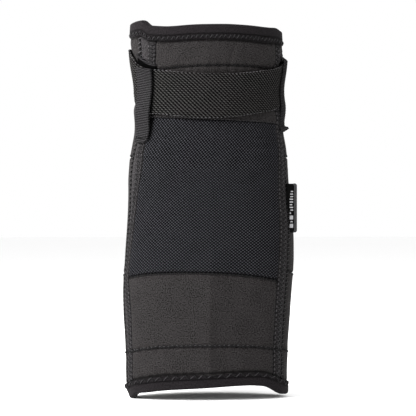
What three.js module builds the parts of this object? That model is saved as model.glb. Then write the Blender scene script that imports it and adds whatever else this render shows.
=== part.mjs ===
// A pull-on elbow guard: a neoprene and mesh sleeve with a padded elbow side and an elastic strap.
// Millimetres. +Z runs up the arm, -Y is the crook of the elbow, +Y the padded elbow side.
// It stands on its lower hem. The origin is on the ground, in the middle of the guard's outline from above.
import * as THREE from "three";

// ---- Driving dimensions ----

const sleeve = {
  height: 247, // nominal, before the slanted top hem
  cuffHalfWidth: 52.6,
  topHalfWidth: 50.85,
  rearDepth: 26, // centre to crook face
  frontDepth: 32, // centre to elbow face
  wall: 3,
  meshWall: 1.6,
};
const elbowSwell = { size: 4.1, height: 88, spread: 50 };
const strapWaist = { size: -6, height: 203, spread: 20 };
const elbowBulge = { size: 6, height: 125, spread: 55 }; // the sleeve's own bend, towards +Y
const seamTwist = { low: -8.5, high: 10, from: 90, to: 245 }; // degrees
const crookLift = { rise: 8.6, squareness: 5, fadeHeight: 150 }; // the crook side of the cuff stands clear
const topSlant = { rise: 3, from: 180 }; // the top hem is higher on the -X side
const gap = 0.3;

const hemHeight = { low: 9.5, high: 9 };
const hem = { proud: 0.7, wall: 4.6, bevel: 1.5, steps: 40 };
const rearHalfAngle = { low: 61, high: 54.5, from: 150, to: 240 };
const sideHalfAngle = 74; // seam between side strip and front panel
const rearSplits = { meshBottom: 79, meshTop: 183 };
const frontSplits = { cupBottom: 82, cupTop: 159 };
const gripper = { wall: 1, lowTop: 30, highBottom: 219, fromHem: 2, steps: 36 };

const strap = { width: 30, thickness: 1.6, clearance: 0.6, crookHeight: 199.5 };
const strapRise = { side: 9, shoulder: 3, slant: 2.3 };
const strapAngles = { tip: 205, gripStart: 197, tabStart: 151.5, endStart: 138, fixedEnd: -125 };
const tab = { standOff: 2.3, thickness: 1.4, hookThickness: 0.8, hookWidth: 26, hookInset: 2 };
const pullGrip = { thickness: 2.6, width: 24 };
const strapSplit = 0.4; // degrees between one part of the strap and the next
const tabHingeRoom = 1.2; // degrees
const loopPatch = { from: 140, to: 216, thickness: 1, border: 1.5 };
const anchorPatch = { from: -139, to: -125.6, thickness: 2.2 };

const keeper = { left: -66, right: 73, width: 17.6, thickness: 1.2, below: 21, above: 4 };
const keeperRamp = { top: 3, sewn: 0.6, low: 2 }; // where it climbs from the sleeve to clear the strap
const sideTag = { angle: 81, bottom: 109, height: 32.5, reach: 5.2, thickness: 2.2, corner: 1.6 };
const tagRoot = { clearance: 1.9, lean: 8 }; // millimetres off the sleeve, and degrees towards the elbow side

const padSkin = 1.2;
const padNarrowing = 0.22; // share of the width lost at a pad's two ends
const padEdge = 0.6; // the foam's thickness at its rim
const padClearance = 0.5; // between the foam or cover border and the sleeve
const padColour = 0x2c2b2d;
const pads = {
  elbow: { bottom: 93, top: 148, halfAngle: 50, crown: 9, across: 12, up: 10 },
  forearm: { bottom: 38, top: 74, halfAngle: 38, crown: 5.5, across: 12, up: 8 },
  upper_arm: { bottom: 168, top: 190, halfAngle: 38, crown: 4.5, across: 12, up: 8 },
};

// ---- Materials ----

function cloth(colour, roughness) {
  return new THREE.MeshStandardMaterial({ color: colour, roughness, metalness: 0 });
}

const neoprene = cloth(0x3c3a3a, 0.85);
const hemCloth = cloth(0x2d2a2b, 0.9);
const mesh = cloth(0x2e2e31, 0.7);
const elastic = cloth(0x2c2c2a, 0.8);
const keeperElastic = cloth(0x454446, 0.8);
const silicone = cloth(0x1d1d1f, 0.45);
const foam = cloth(0x55565a, 0.95);
const coverCloth = cloth(padColour, 0.8);
const hookAndLoop = cloth(0x18181a, 0.95);
const rubber = cloth(0x202022, 0.5);

// ---- The sleeve's face ----

const radians = THREE.MathUtils.degToRad;
const mix = THREE.MathUtils.lerp;
const ease = THREE.MathUtils.smoothstep;

function swell({ size, height, spread }, z) {
  return size * Math.exp(-(((z - height) / spread) ** 2));
}

function halfWidth(z) {
  const straight = mix(sleeve.cuffHalfWidth, sleeve.topHalfWidth, z / sleeve.height);
  return straight + swell(elbowSwell, z) + swell(strapWaist, z);
}

// Heights are nominal: the crook side of the cuff lifts, and the top hem slants.
function standingHeight(turn, z) {
  const crook = Math.cos(turn) > 0 ? 1 - Math.abs(Math.sin(turn)) ** crookLift.squareness : 0;
  const lift = crookLift.rise * Math.max(0, 1 - (z / crookLift.fadeHeight) ** 2);
  const slant = ease(z, topSlant.from, sleeve.height) * topSlant.rise;
  return z + lift * crook - slant * Math.sin(turn);
}

// A point on the sleeve. Angle 0 is the middle of the crook and grows towards +X;
// offset is the distance outwards from the outer face.
function sleevePoint(angle, z, offset) {
  const twist = mix(seamTwist.low, seamTwist.high, ease(z, seamTwist.from, seamTwist.to));
  const turn = radians(angle + twist);
  const depth = Math.cos(turn) > 0 ? sleeve.rearDepth : sleeve.frontDepth;
  return new THREE.Vector3(
    (halfWidth(z) + offset) * Math.sin(turn),
    swell(elbowBulge, z) - (depth + offset) * Math.cos(turn),
    standingHeight(turn, z),
  );
}

// A closed slab: place(u, v, w) says where the points of a unit box go.
function slab(across, up, place) {
  const shape = new THREE.BoxGeometry(1, 1, 1, across, up, 1);
  const points = shape.attributes.position;
  for (let i = 0; i < points.count; i++) {
    const u = points.getX(i) + 0.5;
    const v = points.getY(i) + 0.5;
    const w = points.getZ(i) + 0.5;
    const { x, y, z } = place(u, v, w);
    points.setXYZ(i, x, y, z);
  }
  shape.computeVertexNormals();
  return shape;
}

function piece(name, shape, material) {
  const result = new THREE.Mesh(shape, material);
  result.name = name;
  return result;
}

// ---- Sleeve panels ----

function rearEdge(z) {
  const narrowing = ease(z, rearHalfAngle.from, rearHalfAngle.to);
  return mix(rearHalfAngle.low, rearHalfAngle.high, narrowing);
}

// The seams are butted, with half of the gap on each side of a seam.
const seamGap = 0.35; // degrees

function panel({ from, to, bottom, top, wall = sleeve.wall, across, up }) {
  return slab(across, up, (u, v, w) => {
    const z = mix(bottom + gap / 2, top - gap / 2, v);
    const angle = mix(from(z) + seamGap / 2, to(z) - seamGap / 2, u);
    return sleevePoint(angle, z, mix(-wall, 0, w));
  });
}

function rearPanel(bottom, top, up, wall) {
  const from = (z) => -rearEdge(z);
  return panel({ from, to: rearEdge, bottom, top, wall, across: 14, up });
}

function frontPanel(bottom, top, up) {
  const from = () => sideHalfAngle;
  const to = () => 360 - sideHalfAngle;
  return panel({ from, to, bottom, top, across: 22, up });
}

function sideStrip(side) {
  const rear = (z) => side * rearEdge(z);
  const front = () => side * sideHalfAngle;
  const [from, to] = side > 0 ? [rear, front] : [front, rear];
  const [bottom, top] = [hemHeight.low, sleeve.height - hemHeight.high];
  return panel({ from, to, bottom, top, across: 2, up: 32 });
}

// ---- Rings: hems and gripper bands ----

// The ring is turned at this radius, then laid on the sleeve's face.
const turningRadius = 100;

// profile is a closed run of [offset, height] points, anticlockwise seen with the ring's axis on the left.
function ring(profile, steps) {
  const points = [...profile, profile[0]].map(([offset, z]) => new THREE.Vector2(offset + turningRadius, z));
  const shape = new THREE.LatheGeometry(points, steps);
  const position = shape.attributes.position;
  for (let i = 0; i < position.count; i++) {
    const offset = Math.hypot(position.getX(i), position.getZ(i)) - turningRadius;
    const angle = THREE.MathUtils.radToDeg(Math.atan2(position.getX(i), position.getZ(i)));
    const { x, y, z } = sleevePoint(angle, position.getY(i), offset);
    position.setXYZ(i, x, y, z);
  }
  return shape;
}

function hemRing(bottom, top) {
  const { proud: outer, bevel } = hem;
  const inner = outer - hem.wall;
  return ring(
    [
      [inner + bevel, bottom],
      [outer - bevel, bottom],
      [outer, bottom + bevel],
      [outer, top - bevel],
      [outer - bevel, top],
      [inner + bevel, top],
      [inner, top - bevel],
      [inner, bottom + bevel],
    ],
    hem.steps,
  );
}

function gripperBand(bottom, top) {
  const outer = -sleeve.wall - gap;
  const inner = outer - gripper.wall;
  return ring([[inner, bottom], [outer, bottom], [outer, top], [inner, top]], gripper.steps);
}

// ---- Strap ----

// The strap's middle line dips at the crook and climbs towards the elbow side.
function strapHeight(angle) {
  const turn = radians(angle);
  const climb = strapRise.side * (1 - Math.cos(turn)) + strapRise.shoulder * Math.sin(turn) ** 2;
  return strap.crookHeight + climb + strapRise.slant * Math.sin(turn);
}

function strapPart({ from, to, inner, thickness, width = strap.width, across }) {
  return slab(across, 2, (u, v, w) => {
    const angle = mix(from, to, u);
    const z = strapHeight(angle) + mix(-width / 2, width / 2, v);
    return sleevePoint(angle, z, mix(inner, inner + thickness, w));
  });
}

function strapPieces() {
  const { tip, gripStart, tabStart, endStart, fixedEnd } = strapAngles;
  const { thickness, clearance } = strap;
  const bandArc = { from: fixedEnd, to: endStart - strapSplit };
  const endArc = { from: endStart, to: tabStart - tabHingeRoom };
  const tabArc = { from: tabStart, to: gripStart };
  const hookArc = { from: tabStart + tab.hookInset, to: gripStart - tab.hookInset };
  const gripArc = { from: gripStart + strapSplit, to: tip };
  const tabInner = tab.standOff + tab.hookThickness + gap;
  const loopWidth = strap.width + 2 * loopPatch.border;

  const band = strapPart({ ...bandArc, inner: clearance, thickness, across: 40 });
  const end = strapPart({ ...endArc, inner: tab.standOff, thickness, across: 3 });
  const closingTab = strapPart({ ...tabArc, inner: tabInner, thickness: tab.thickness, across: 9 });
  const hook = strapPart({
    ...hookArc,
    inner: tab.standOff,
    thickness: tab.hookThickness,
    width: tab.hookWidth,
    across: 8,
  });
  const grip = strapPart({ ...gripArc, ...pullGrip, inner: tab.standOff, across: 3 });
  const loop = strapPart({ ...loopPatch, inner: gap, width: loopWidth, across: 14 });
  const anchor = strapPart({ ...anchorPatch, inner: gap, across: 3 });
  return [
    piece("strap_band", band, elastic),
    piece("strap_end", end, elastic),
    piece("closing_tab", closingTab, elastic),
    piece("hook_patch", hook, hookAndLoop),
    piece("pull_grip", grip, rubber),
    piece("loop_patch", loop, hookAndLoop),
    piece("strap_anchor", anchor, elastic),
  ];
}

// ---- Keepers ----

// A keeper is sewn down at both ends and stands off in between, where the strap runs under it.
function keeperPiece(name, middle) {
  const over = strap.clearance + strap.thickness + 3 * gap;
  const strapTop = strapHeight(middle) + strap.width / 2;
  const top = strapTop + keeper.above;
  const bottom = strapTop - strap.width - keeper.below;
  const shape = slab(3, 16, (u, v, w) => {
    const z = mix(bottom, top, v);
    const topRamp = 1 - ease(z, top - keeperRamp.top, top - keeperRamp.sewn);
    const lowRamp = ease(z, bottom + keeperRamp.low, bottom + keeper.below - keeperRamp.low);
    const standOff = mix(gap, over, Math.min(topRamp, lowRamp));
    const angle = middle + mix(-keeper.width / 2, keeper.width / 2, u);
    return sleevePoint(angle, z, standOff + w * keeper.thickness);
  });
  return piece(name, shape, keeperElastic);
}

// ---- Side tag: a folded rubber tag standing out of the side ----

function sideTagPiece() {
  const { angle, bottom, height, reach, thickness, corner } = sideTag;
  const outline = new THREE.Shape();
  outline.moveTo(0, 0);
  outline.lineTo(reach - corner, 0);
  outline.absarc(reach - corner, corner, corner, -Math.PI / 2, 0, false);
  outline.absarc(reach - corner, height - corner, corner, 0, Math.PI / 2, false);
  outline.lineTo(0, height);
  const shape = new THREE.ExtrudeGeometry(outline, {
    depth: thickness,
    bevelEnabled: false,
    curveSegments: 4,
  });
  const root = sleevePoint(angle, bottom + height / 2, gap);
  const result = piece("side_tag", shape, rubber);
  result.rotation.set(Math.PI / 2, 0, radians(tagRoot.lean), "ZXY");
  result.position.set(root.x + tagRoot.clearance, root.y + thickness / 2, bottom);
  return result;
}

// ---- Pads ----

// Pad space: u and v run 0 to 1 over the foam, and past it over the cover's sewn border.
function padPoint(pad, u, v, offset) {
  const edge = Math.min(1, Math.abs(2 * v - 1));
  const half = pad.halfAngle * (1 - padNarrowing * edge ** 4);
  const angle = 180 + mix(-half, half, u);
  return sleevePoint(angle, mix(pad.bottom, pad.top, v), offset);
}

function padCrown(pad, u, v) {
  const across = Math.max(0, 1 - (2 * u - 1) ** 4);
  const up = Math.max(0, 1 - (2 * v - 1) ** 4);
  return pad.crown * across * up;
}

// The box is turned a quarter, so that its outer face and the cover's inner face are split
// into triangles along the same diagonals and stay the same distance apart.
function foamShape(pad) {
  return slab(pad.up - 2, pad.across - 2, (boxU, boxV, w) => {
    const [u, v] = [boxV, 1 - boxU];
    const outer = padClearance + padEdge + padCrown(pad, u, v);
    return padPoint(pad, u, v, w < 0.5 ? padClearance : outer);
  });
}

// The cover lies over the foam and comes down to the sleeve in a border one cell wide.
function coverShape(pad) {
  const border = { u: 1 / (pad.across - 2), v: 1 / (pad.up - 2) };
  return slab(pad.across, pad.up, (boxU, boxV, w) => {
    const u = mix(-border.u, 1 + border.u, boxU);
    const v = mix(-border.v, 1 + border.v, boxV);
    const onFoam = Math.min(boxU, 1 - boxU, boxV, 1 - boxV) > 0.01;
    const overFoam = padClearance + padEdge + gap + padCrown(pad, u, v);
    const inner = onFoam ? overFoam : padClearance;
    return padPoint(pad, u, v, inner + w * padSkin);
  });
}

function padPieces() {
  return Object.entries(pads).flatMap(([name, pad]) => [
    piece(`${name}_foam`, foamShape(pad), foam),
    piece(`${name}_cover`, coverShape(pad), coverCloth),
  ]);
}

// ---- The guard ----

const { meshBottom, meshTop } = rearSplits;
const { cupBottom, cupTop } = frontSplits;
const cuffTop = hemHeight.low;
const topHemBottom = sleeve.height - hemHeight.high;

const guard = new THREE.Group();
guard.add(
  piece("lower_hem", hemRing(0, cuffTop - gap / 2), hemCloth),
  piece("upper_hem", hemRing(topHemBottom + gap / 2, sleeve.height), hemCloth),
  piece("rear_lower_panel", rearPanel(cuffTop, meshBottom, 4), neoprene),
  piece("rear_mesh_panel", rearPanel(meshBottom, meshTop, 8, sleeve.meshWall), mesh),
  piece("rear_upper_panel", rearPanel(meshTop, topHemBottom, 8), neoprene),
  piece("left_side_strip", sideStrip(-1), neoprene),
  piece("right_side_strip", sideStrip(1), neoprene),
  piece("front_lower_panel", frontPanel(cuffTop, cupBottom, 5), neoprene),
  piece("front_middle_panel", frontPanel(cupBottom, cupTop, 7), neoprene),
  piece("front_upper_panel", frontPanel(cupTop, topHemBottom, 11), neoprene),
  piece("lower_gripper", gripperBand(cuffTop + gripper.fromHem, gripper.lowTop), silicone),
  piece("upper_gripper", gripperBand(gripper.highBottom, topHemBottom - gripper.fromHem), silicone),
  keeperPiece("left_keeper", keeper.left),
  keeperPiece("right_keeper", keeper.right),
  sideTagPiece(),
  ...strapPieces(),
  ...padPieces(),
);

// The sleeve was drawn about its own axis; the origin is the middle of the whole outline.
const outline = new THREE.Box3().setFromObject(guard);
const middle = outline.getCenter(new THREE.Vector3());
guard.position.set(-middle.x, -middle.y, -outline.min.z);

export default guard;
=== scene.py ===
import math
from functools import partial

import bmesh
import bpy
import numpy as np
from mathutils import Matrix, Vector
from mathutils.bvhtree import BVHTree


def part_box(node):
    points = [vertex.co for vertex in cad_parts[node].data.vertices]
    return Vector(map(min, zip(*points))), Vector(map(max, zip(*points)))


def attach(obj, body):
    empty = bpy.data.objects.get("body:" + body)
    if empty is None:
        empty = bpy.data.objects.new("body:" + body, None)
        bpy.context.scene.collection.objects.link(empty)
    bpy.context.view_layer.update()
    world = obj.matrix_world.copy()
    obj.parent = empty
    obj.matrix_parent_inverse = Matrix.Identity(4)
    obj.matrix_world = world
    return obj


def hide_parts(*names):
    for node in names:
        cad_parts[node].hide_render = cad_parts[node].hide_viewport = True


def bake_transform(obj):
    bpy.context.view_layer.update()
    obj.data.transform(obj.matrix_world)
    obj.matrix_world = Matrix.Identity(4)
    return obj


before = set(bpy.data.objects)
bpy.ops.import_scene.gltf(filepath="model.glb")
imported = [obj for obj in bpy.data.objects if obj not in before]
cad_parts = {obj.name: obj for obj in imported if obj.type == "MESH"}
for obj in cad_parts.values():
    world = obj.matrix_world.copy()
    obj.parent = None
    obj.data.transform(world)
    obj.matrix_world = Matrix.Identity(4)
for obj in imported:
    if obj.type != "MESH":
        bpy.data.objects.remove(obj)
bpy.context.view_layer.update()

# A pull-on elbow guard. Millimetres and degrees, turned into metres where a mesh is made.
# s is the distance round the sleeve from the middle of the crook, z the height along it before it is
# lifted or slanted, and an offset is the distance outwards from the sleeve's outer face.
MM = 0.001

# ---- Driving dimensions ----
# They are the CAD source's, except three that follow the look of the worn guard more closely:
# the keepers reach 18.5 below the strap (CAD 21), the tag stands at angle 77 (CAD 81), and its
# root is 0.4 inside the sleeve (CAD 1.9 outside).

HEIGHT = 247
CUFF_HALF_WIDTH, TOP_HALF_WIDTH = 52.6, 50.85
REAR_DEPTH, FRONT_DEPTH = 26, 32
WALL, MESH_WALL = 3, 1.6
ELBOW_SWELL = {"size": 4.1, "height": 88, "spread": 50}
STRAP_WAIST = {"size": -6, "height": 203, "spread": 20}
ELBOW_BULGE = {"size": 6, "height": 125, "spread": 55}
TWIST = {"low": -8.5, "high": 10, "start": 90, "stop": 245}
CROOK_LIFT = {"rise": 8.6, "squareness": 5, "fade_height": 150}
TOP_SLANT = {"rise": 3, "start": 180}
GAP = 0.3
HEM_LOW = 9.5
HEM_PROUD, HEM_WALL = 0.7, 4.6
REAR_EDGE = {"low": 61, "high": 54.5, "start": 150, "stop": 240}
SIDE_SEAM = 74
CUP_BOTTOM, CUP_TOP = 82, 159
GRIPPER = {"wall": 1, "low_top": 30, "high_bottom": 219, "from_hem": 2}
STRAP = {"width": 30, "thickness": 1.6, "clearance": 0.6, "crook_height": 199.5}
STRAP_RISE = {"side": 9, "shoulder": 3, "slant": 2.3}
STRAP_ANGLES = {"tip": 205, "grip": 197, "tab": 151.5, "end": 138, "fixed": -125}
TAB = {"stand_off": 2.3, "thickness": 1.4, "hook_thickness": 0.8, "hook_width": 26, "hook_inset": 2}
PULL_GRIP = {"thickness": 2.6, "width": 24}
LOOP_PATCH = {"start": 140, "stop": 216, "thickness": 1, "border": 1.5}
ANCHOR_PATCH = {"start": -139, "stop": -125.6, "thickness": 2.2}
KEEPER = {"left": -66, "right": 73, "width": 17.6, "thickness": 1.2, "below": 18.5}
TAG = {"angle": 77, "bottom": 109, "height": 32.5, "reach": 5.2, "thickness": 2.2, "corner": 1.6}
TAG_ROOT = {"clearance": -0.4, "lean": 8}
PAD_NARROWING, PAD_EDGE, PAD_CLEARANCE = 0.22, 0.6, 0.5
PADS = {
    "elbow": {"bottom": 93, "top": 148, "half_angle": 50, "crown": 9},
    "forearm": {"bottom": 38, "top": 74, "half_angle": 38, "crown": 5.5},
    "upper_arm": {"bottom": 168, "top": 190, "half_angle": 38, "crown": 4.5},
}

# ---- What the fabric does beyond the CAD's smooth shape ----
# These were fitted by comparing the outline and the seams, and none of them is a known dimension.

HEM_HIGH = 10.6  # the top hem shows a little deeper than the CAD's
REAR_TOP = {"height": 244.5, "left": (50, 62), "right": (62, 76), "start": 200}  # level over the crook
TOP_DROPS = [(180, 1000, 1.4), (-90, 22, 1.6)]  # how far the rest of the top has settled: turn, spread, drop
TOP_DIPS = [(-33, 16, 1.2), (14, 14, -0.3), (52, 16, 0.7)]  # more dips over the crook: turn, spread, depth
FOOT_TILT = {"rise": 1.5, "fade_height": 25}  # the cuff's crook side is higher on the right
FOOT_LIFTS = [(-66, 12, 1.8), (62, 12, -1.5), (92, 14, 2.2)]  # and its edge is uneven: turn, spread, rise
FOOT_TUCK = {"turn": -90, "spread": 24, "size": 2.8, "height": 9}  # the cuff's left corner turns in
FRONT_ARCH = {"rise": 4.8, "start": 100, "stop": 128, "fade_height": 60}
# Lines sewn across the crook, at their standing heights: in the middle, and what the two ends add.
MESH_FOOT = {"middle": 83.3, "tilt": -1.2, "bow": -4.6}
GRIPPER_LINE = {"middle": 35.7, "tilt": 0.7, "bow": -3.5}
MESH_HEAD = {"middle": 182.6, "tilt": -1.8, "bow": 0.0}
UPPER_LINE = {"middle": 217.9, "tilt": 0.7, "bow": -2.7}
MESH_HEAD_FAINTER = 0.8  # the mesh panel's upper seam dips less than the others and has less painted shade
LEFT_EDGE_STRAYS = [(149, 15, -5.0), (82, 12, 3.0), (52, 20, -1.5)]  # height, spread, angle outwards
STRAP_BOW = 1.6  # the strap stands off the crook
STRAP_WORN_WIDTH = 29  # narrower than the CAD's, taken to be drawn in by its stretch
STRAP_STRAYS = [(0, 75, -1.3), (-70, 18, -3.6), (56, 16, -1.6), (-100, 16, 4.5)]  # angle, spread, rise
SWAYS = [(112, 38, 2.9), (176, 22, 1.5), (240, 16, -0.2)]  # how the worn sleeve leans: height, spread, x
# Where it stands fuller: height, spread, offset.
FULLNESS = [(20, 55, 0.7), (110, 35, 0.8), (145, 14, 0.4), (177, 11, -1.6), (205, 20, 1.8), (228, 9, -0.5),
            (250, 12, -1.1)]
# Where the elbow bends: below the first height fabric follows the forearm, above the second the upper arm.
BEND_FROM, BEND_TO = 85, 160
# The line down the crook that the sleeve was once pressed flat along.
FOLD = {"turn": -1, "spread": 9, "low_rise": 2.0, "high_rise": 0.5, "start": 75, "stop": 95}
# Creases: angle, z, half length, half width, slope in degrees, height.
CREASES = [
    (40, 176, 13, 1.5, -12, 1.0),
    (44, 169, 12, 1.4, -6, 1.1),
    (42, 162, 14, 1.6, 4, 1.0),
    (47, 154, 11, 1.5, 10, 0.9),
    (84, 193, 7, 5.0, 0, 1.6),
    (84, 228, 7, 3.0, 0, 1.3),
    (30, 147, 16, 2.2, 14, 0.3),
    (-46, 172, 12, 1.8, 16, 0.45),
    (-48, 160, 12, 2.0, 8, 0.4),
    (-40, 150, 15, 2.4, -10, 0.3),
    (-10, 138, 20, 3.0, -6, 0.25),
    (14, 128, 18, 2.6, 8, 0.25),
    (8, 228, 9, 1.6, 80, -0.45),
    (-34, 226, 10, 2.2, 70, 0.3),
    (36, 60, 14, 4.0, 70, 0.35),
    (-30, 52, 16, 5.0, -65, 0.35),
    (66, 120, 7, 1.6, 10, 0.4),
    (68, 152, 7, 1.6, -10, 0.4),
    (-68, 118, 7, 1.8, -12, 0.4),
    (-67, 146, 7, 1.6, 12, 0.4),
]


# ---- The sleeve's face ----


def mix(first, last, share):
    return first + (last - first) * share


def ease(x, low, high):
    t = np.clip((x - low) / (high - low), 0, 1)
    return t * t * (3 - 2 * t)


def bump(x, spread):
    return np.exp(-((x / spread) ** 2))


def swell(shape, z):
    return shape["size"] * bump(z - shape["height"], shape["spread"])


def bumps(shapes, x):
    """The sum of smooth bumps, each given by its middle, spread and size."""
    return sum(size * bump(x - middle, spread) for middle, spread, size in shapes)


def half_width(z):
    straight = mix(CUFF_HALF_WIDTH, TOP_HALF_WIDTH, z / HEIGHT)
    return straight + swell(ELBOW_SWELL, z) + swell(STRAP_WAIST, z) + bumps(FULLNESS, z)


def twist_at(z):
    return mix(TWIST["low"], TWIST["high"], ease(z, TWIST["start"], TWIST["stop"]))


def standing_height(turn, z):
    """The real height of nominal height z. The crook side of the cuff lifts, more so on the right, the
    elbow side arches a little, and the top is cut level over the crook."""
    facing = np.degrees(np.arctan2(np.sin(turn), np.cos(turn)))
    at_crook = np.cos(turn) > 0
    crook = np.where(at_crook, 1 - np.abs(np.sin(turn)) ** CROOK_LIFT["squareness"], 0)
    lift = CROOK_LIFT["rise"] * crook * np.maximum(0, 1 - (z / CROOK_LIFT["fade_height"]) ** 2)
    tilt = FOOT_TILT["rise"] * np.sin(2 * turn) * at_crook + bumps(FOOT_LIFTS, facing)
    tilt = tilt * (1 - ease(z, 0, FOOT_TILT["fade_height"]))
    arch = FRONT_ARCH["rise"] * ease(np.abs(facing), FRONT_ARCH["start"], FRONT_ARCH["stop"])
    arch = arch * (1 - ease(z, 0, FRONT_ARCH["fade_height"]))
    slant = ease(z, TOP_SLANT["start"], HEIGHT) * TOP_SLANT["rise"] * np.sin(turn)
    level = (1 - ease(facing, *REAR_TOP["right"])) * (1 - ease(-facing, *REAR_TOP["left"]))
    dip = HEIGHT - TOP_SLANT["rise"] * np.sin(turn) - REAR_TOP["height"] + bumps(TOP_DIPS, facing)
    settled = mix(bumps(TOP_DROPS, facing), dip, level) * ease(z, REAR_TOP["start"], HEIGHT)
    return z + lift + tilt + arch - slant - settled


hem_low_corner, hem_high_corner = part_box("lower_hem")
SLEEVE_AXIS = np.array([
    (hem_low_corner.x + hem_high_corner.x) / 2,
    hem_low_corner.y + (REAR_DEPTH + HEM_PROUD) * MM,
    0,
])


def sleeve_point(angle, z, offset):
    """Points on the sleeve, in metres in the row frame."""
    angle, z, offset = np.broadcast_arrays(angle, z, offset)
    turn = np.radians(angle + twist_at(z))
    depth = np.where(np.cos(turn) > 0, REAR_DEPTH, FRONT_DEPTH)
    facing = np.degrees(np.arctan2(np.sin(turn), np.cos(turn)))
    tuck = FOOT_TUCK["size"] * bump(facing - FOOT_TUCK["turn"], FOOT_TUCK["spread"])
    tuck = tuck * (1 - ease(z, 0, FOOT_TUCK["height"]))
    x = (half_width(z) + offset - tuck) * np.sin(turn) + bumps(SWAYS, z)
    y = swell(ELBOW_BULGE, z) - (depth + offset) * np.cos(turn)
    return np.stack([x, y, standing_height(turn, z)], axis=-1) * MM + SLEEVE_AXIS


ARC_ANGLES = np.arange(-360, 721)
arc_turns = np.radians(ARC_ANGLES)
arc_depths = np.where(np.cos(arc_turns) > 0, REAR_DEPTH, FRONT_DEPTH)
arc_steps = np.hypot(CUFF_HALF_WIDTH * np.cos(arc_turns), arc_depths * np.sin(arc_turns)) * np.radians(1)
ARC_LENGTHS = np.cumsum(arc_steps) - np.cumsum(arc_steps)[360]


def arc_of(angle):
    return np.interp(angle, ARC_ANGLES, ARC_LENGTHS)


def angle_of(s):
    return np.interp(s, ARC_LENGTHS, ARC_ANGLES)


def rear_edge(z):
    """The angle of the rear panels' right edge."""
    return mix(REAR_EDGE["low"], REAR_EDGE["high"], ease(z, REAR_EDGE["start"], REAR_EDGE["stop"]))


def left_edge(z):
    """The angle of their left edge, which is sewn less evenly."""
    return -rear_edge(z) - bumps(LEFT_EDGE_STRAYS, z)


def strap_height(angle):
    turn = np.radians(angle)
    climb = STRAP_RISE["side"] * (1 - np.cos(turn)) + STRAP_RISE["shoulder"] * np.sin(turn) ** 2
    return STRAP["crook_height"] + climb + STRAP_RISE["slant"] * np.sin(turn) + bumps(STRAP_STRAYS, angle)


def crook_line(line, angle):
    """The nominal height of a line sewn across the crook."""
    share = np.clip(angle / REAR_EDGE["low"], -1.2, 1.2)
    real = line["middle"] + line["tilt"] * share + line["bow"] * share**2
    z = real
    for _ in range(3):
        z = z + real - standing_height(np.radians(angle + twist_at(z)), z)
    return z


def lumps(s, z, size, seed):
    """Smooth unevenness between -1 and 1, with lumps about size millimetres across."""
    cells = 64
    heights = np.random.default_rng(seed).uniform(-1, 1, (cells, cells))
    column, row = np.floor(s / size).astype(int), np.floor(z / size).astype(int)
    u, v = ease(s / size - column, 0, 1), ease(z / size - row, 0, 1)
    near, far = column % cells, (column + 1) % cells
    low, high = row % cells, (row + 1) % cells
    bottom = mix(heights[low, near], heights[low, far], u)
    return mix(bottom, mix(heights[high, near], heights[high, far], u), v)


KEEPER_SHAPES = {
    # shift: how far round from its route it sits; girth: its share of the usual width;
    # ramp: the height over which it rises onto the strap; above: how far it reaches past the strap's top
    "left": {"shift": 0.8, "girth": 1.08, "ramp": 19, "above": -0.3},
    "right": {"shift": 0, "girth": 0.95, "ramp": 19, "above": 4},
}


def keeper_extent(word):
    """The middle and half width of a keeper round the sleeve, its bottom and its top."""
    shape, angle = KEEPER_SHAPES[word], KEEPER[word]
    reach = arc_of(angle + KEEPER["width"] / 2) - arc_of(angle - KEEPER["width"] / 2)
    strap_top = strap_height(angle) + STRAP["width"] / 2
    bottom = strap_top - STRAP["width"] - KEEPER["below"]
    return arc_of(angle) + shape["shift"], shape["girth"] * reach / 2, bottom, strap_top + shape["above"]


def keeper_shadow(s, z):
    """The dark gap beside the left keeper, where it stands off what is under it."""
    middle, half, bottom, top = keeper_extent("left")
    wide = mix(2.0, 0.9, ease(z, bottom, top))
    beside = bump(s - middle - half - 0.4, wide)
    return 0.97 * beside * ease(z, bottom - 1, bottom + 3) * (1 - ease(z, top - 2, top + 1))


SEAM_ROWS = (0.9, 4.4)  # the cover stitch's two rows, from the rear panels' edge
SEAM_PITCH = 3.0


def seam_distance(s, z):
    """Distance in millimetres to the nearest sewn line that runs up the sleeve."""
    round_sleeve = arc_of(360)
    signed = (s + round_sleeve / 2) % round_sleeve - round_sleeve / 2
    edge = arc_of(np.where(signed > 0, rear_edge(z), -left_edge(z)))
    lines = [edge + row for row in SEAM_ROWS] + [arc_of(SIDE_SEAM)]
    return np.min([np.abs(np.abs(signed) - line) for line in lines], axis=0)


def cross_distance(s, z):
    """Distance to the nearest sewn line that runs across the crook or the elbow side."""
    angle = angle_of(s)
    gripper, foot, head, upper = (
        np.abs(z - crook_line(line, angle)) for line in (GRIPPER_LINE, MESH_FOOT, MESH_HEAD, UPPER_LINE)
    )
    head = head + MESH_HEAD_FAINTER
    crook = np.min([gripper, foot, head, upper], axis=0)
    across_front = (CUP_BOTTOM, CUP_TOP, GRIPPER["low_top"], GRIPPER["high_bottom"])
    front = np.min([np.abs(z - height) for height in across_front], axis=0)
    at_rear = (angle > left_edge(z) - 1) & (angle < rear_edge(z) + 1) | (angle > 359 + left_edge(z))
    at_front = (angle > SIDE_SEAM - 1) & (angle < 361 - SIDE_SEAM)
    hems = np.minimum(np.abs(z - HEM_LOW - GAP), np.abs(z - HEIGHT + HEM_HIGH + GAP))
    return np.minimum(hems, np.where(at_front, front, np.where(at_rear, crook, gripper)))


# How far the fabric stands from the smooth sleeve, in millimetres.
SAG = [(0.45, 31, 1), (0.16, 9, 2)]  # height, size of the lumps, and their random seed
SEAM_DIP = {"upright": 0.55, "upright_spread": 0.9, "crook": 0.7, "front": 0.2, "cross_spread": 1.3}
PUCKER = {"size": 0.22, "period": 6.3, "lumps": 12, "seed": 3, "spread": 4}
STRAP_PRESS = {"depth": 0.9, "start": 10, "stop": 19}
STRAP_RIDGE = {"size": 0.35, "height": 21, "spread": 5}  # heights from the middle of the strap
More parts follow.
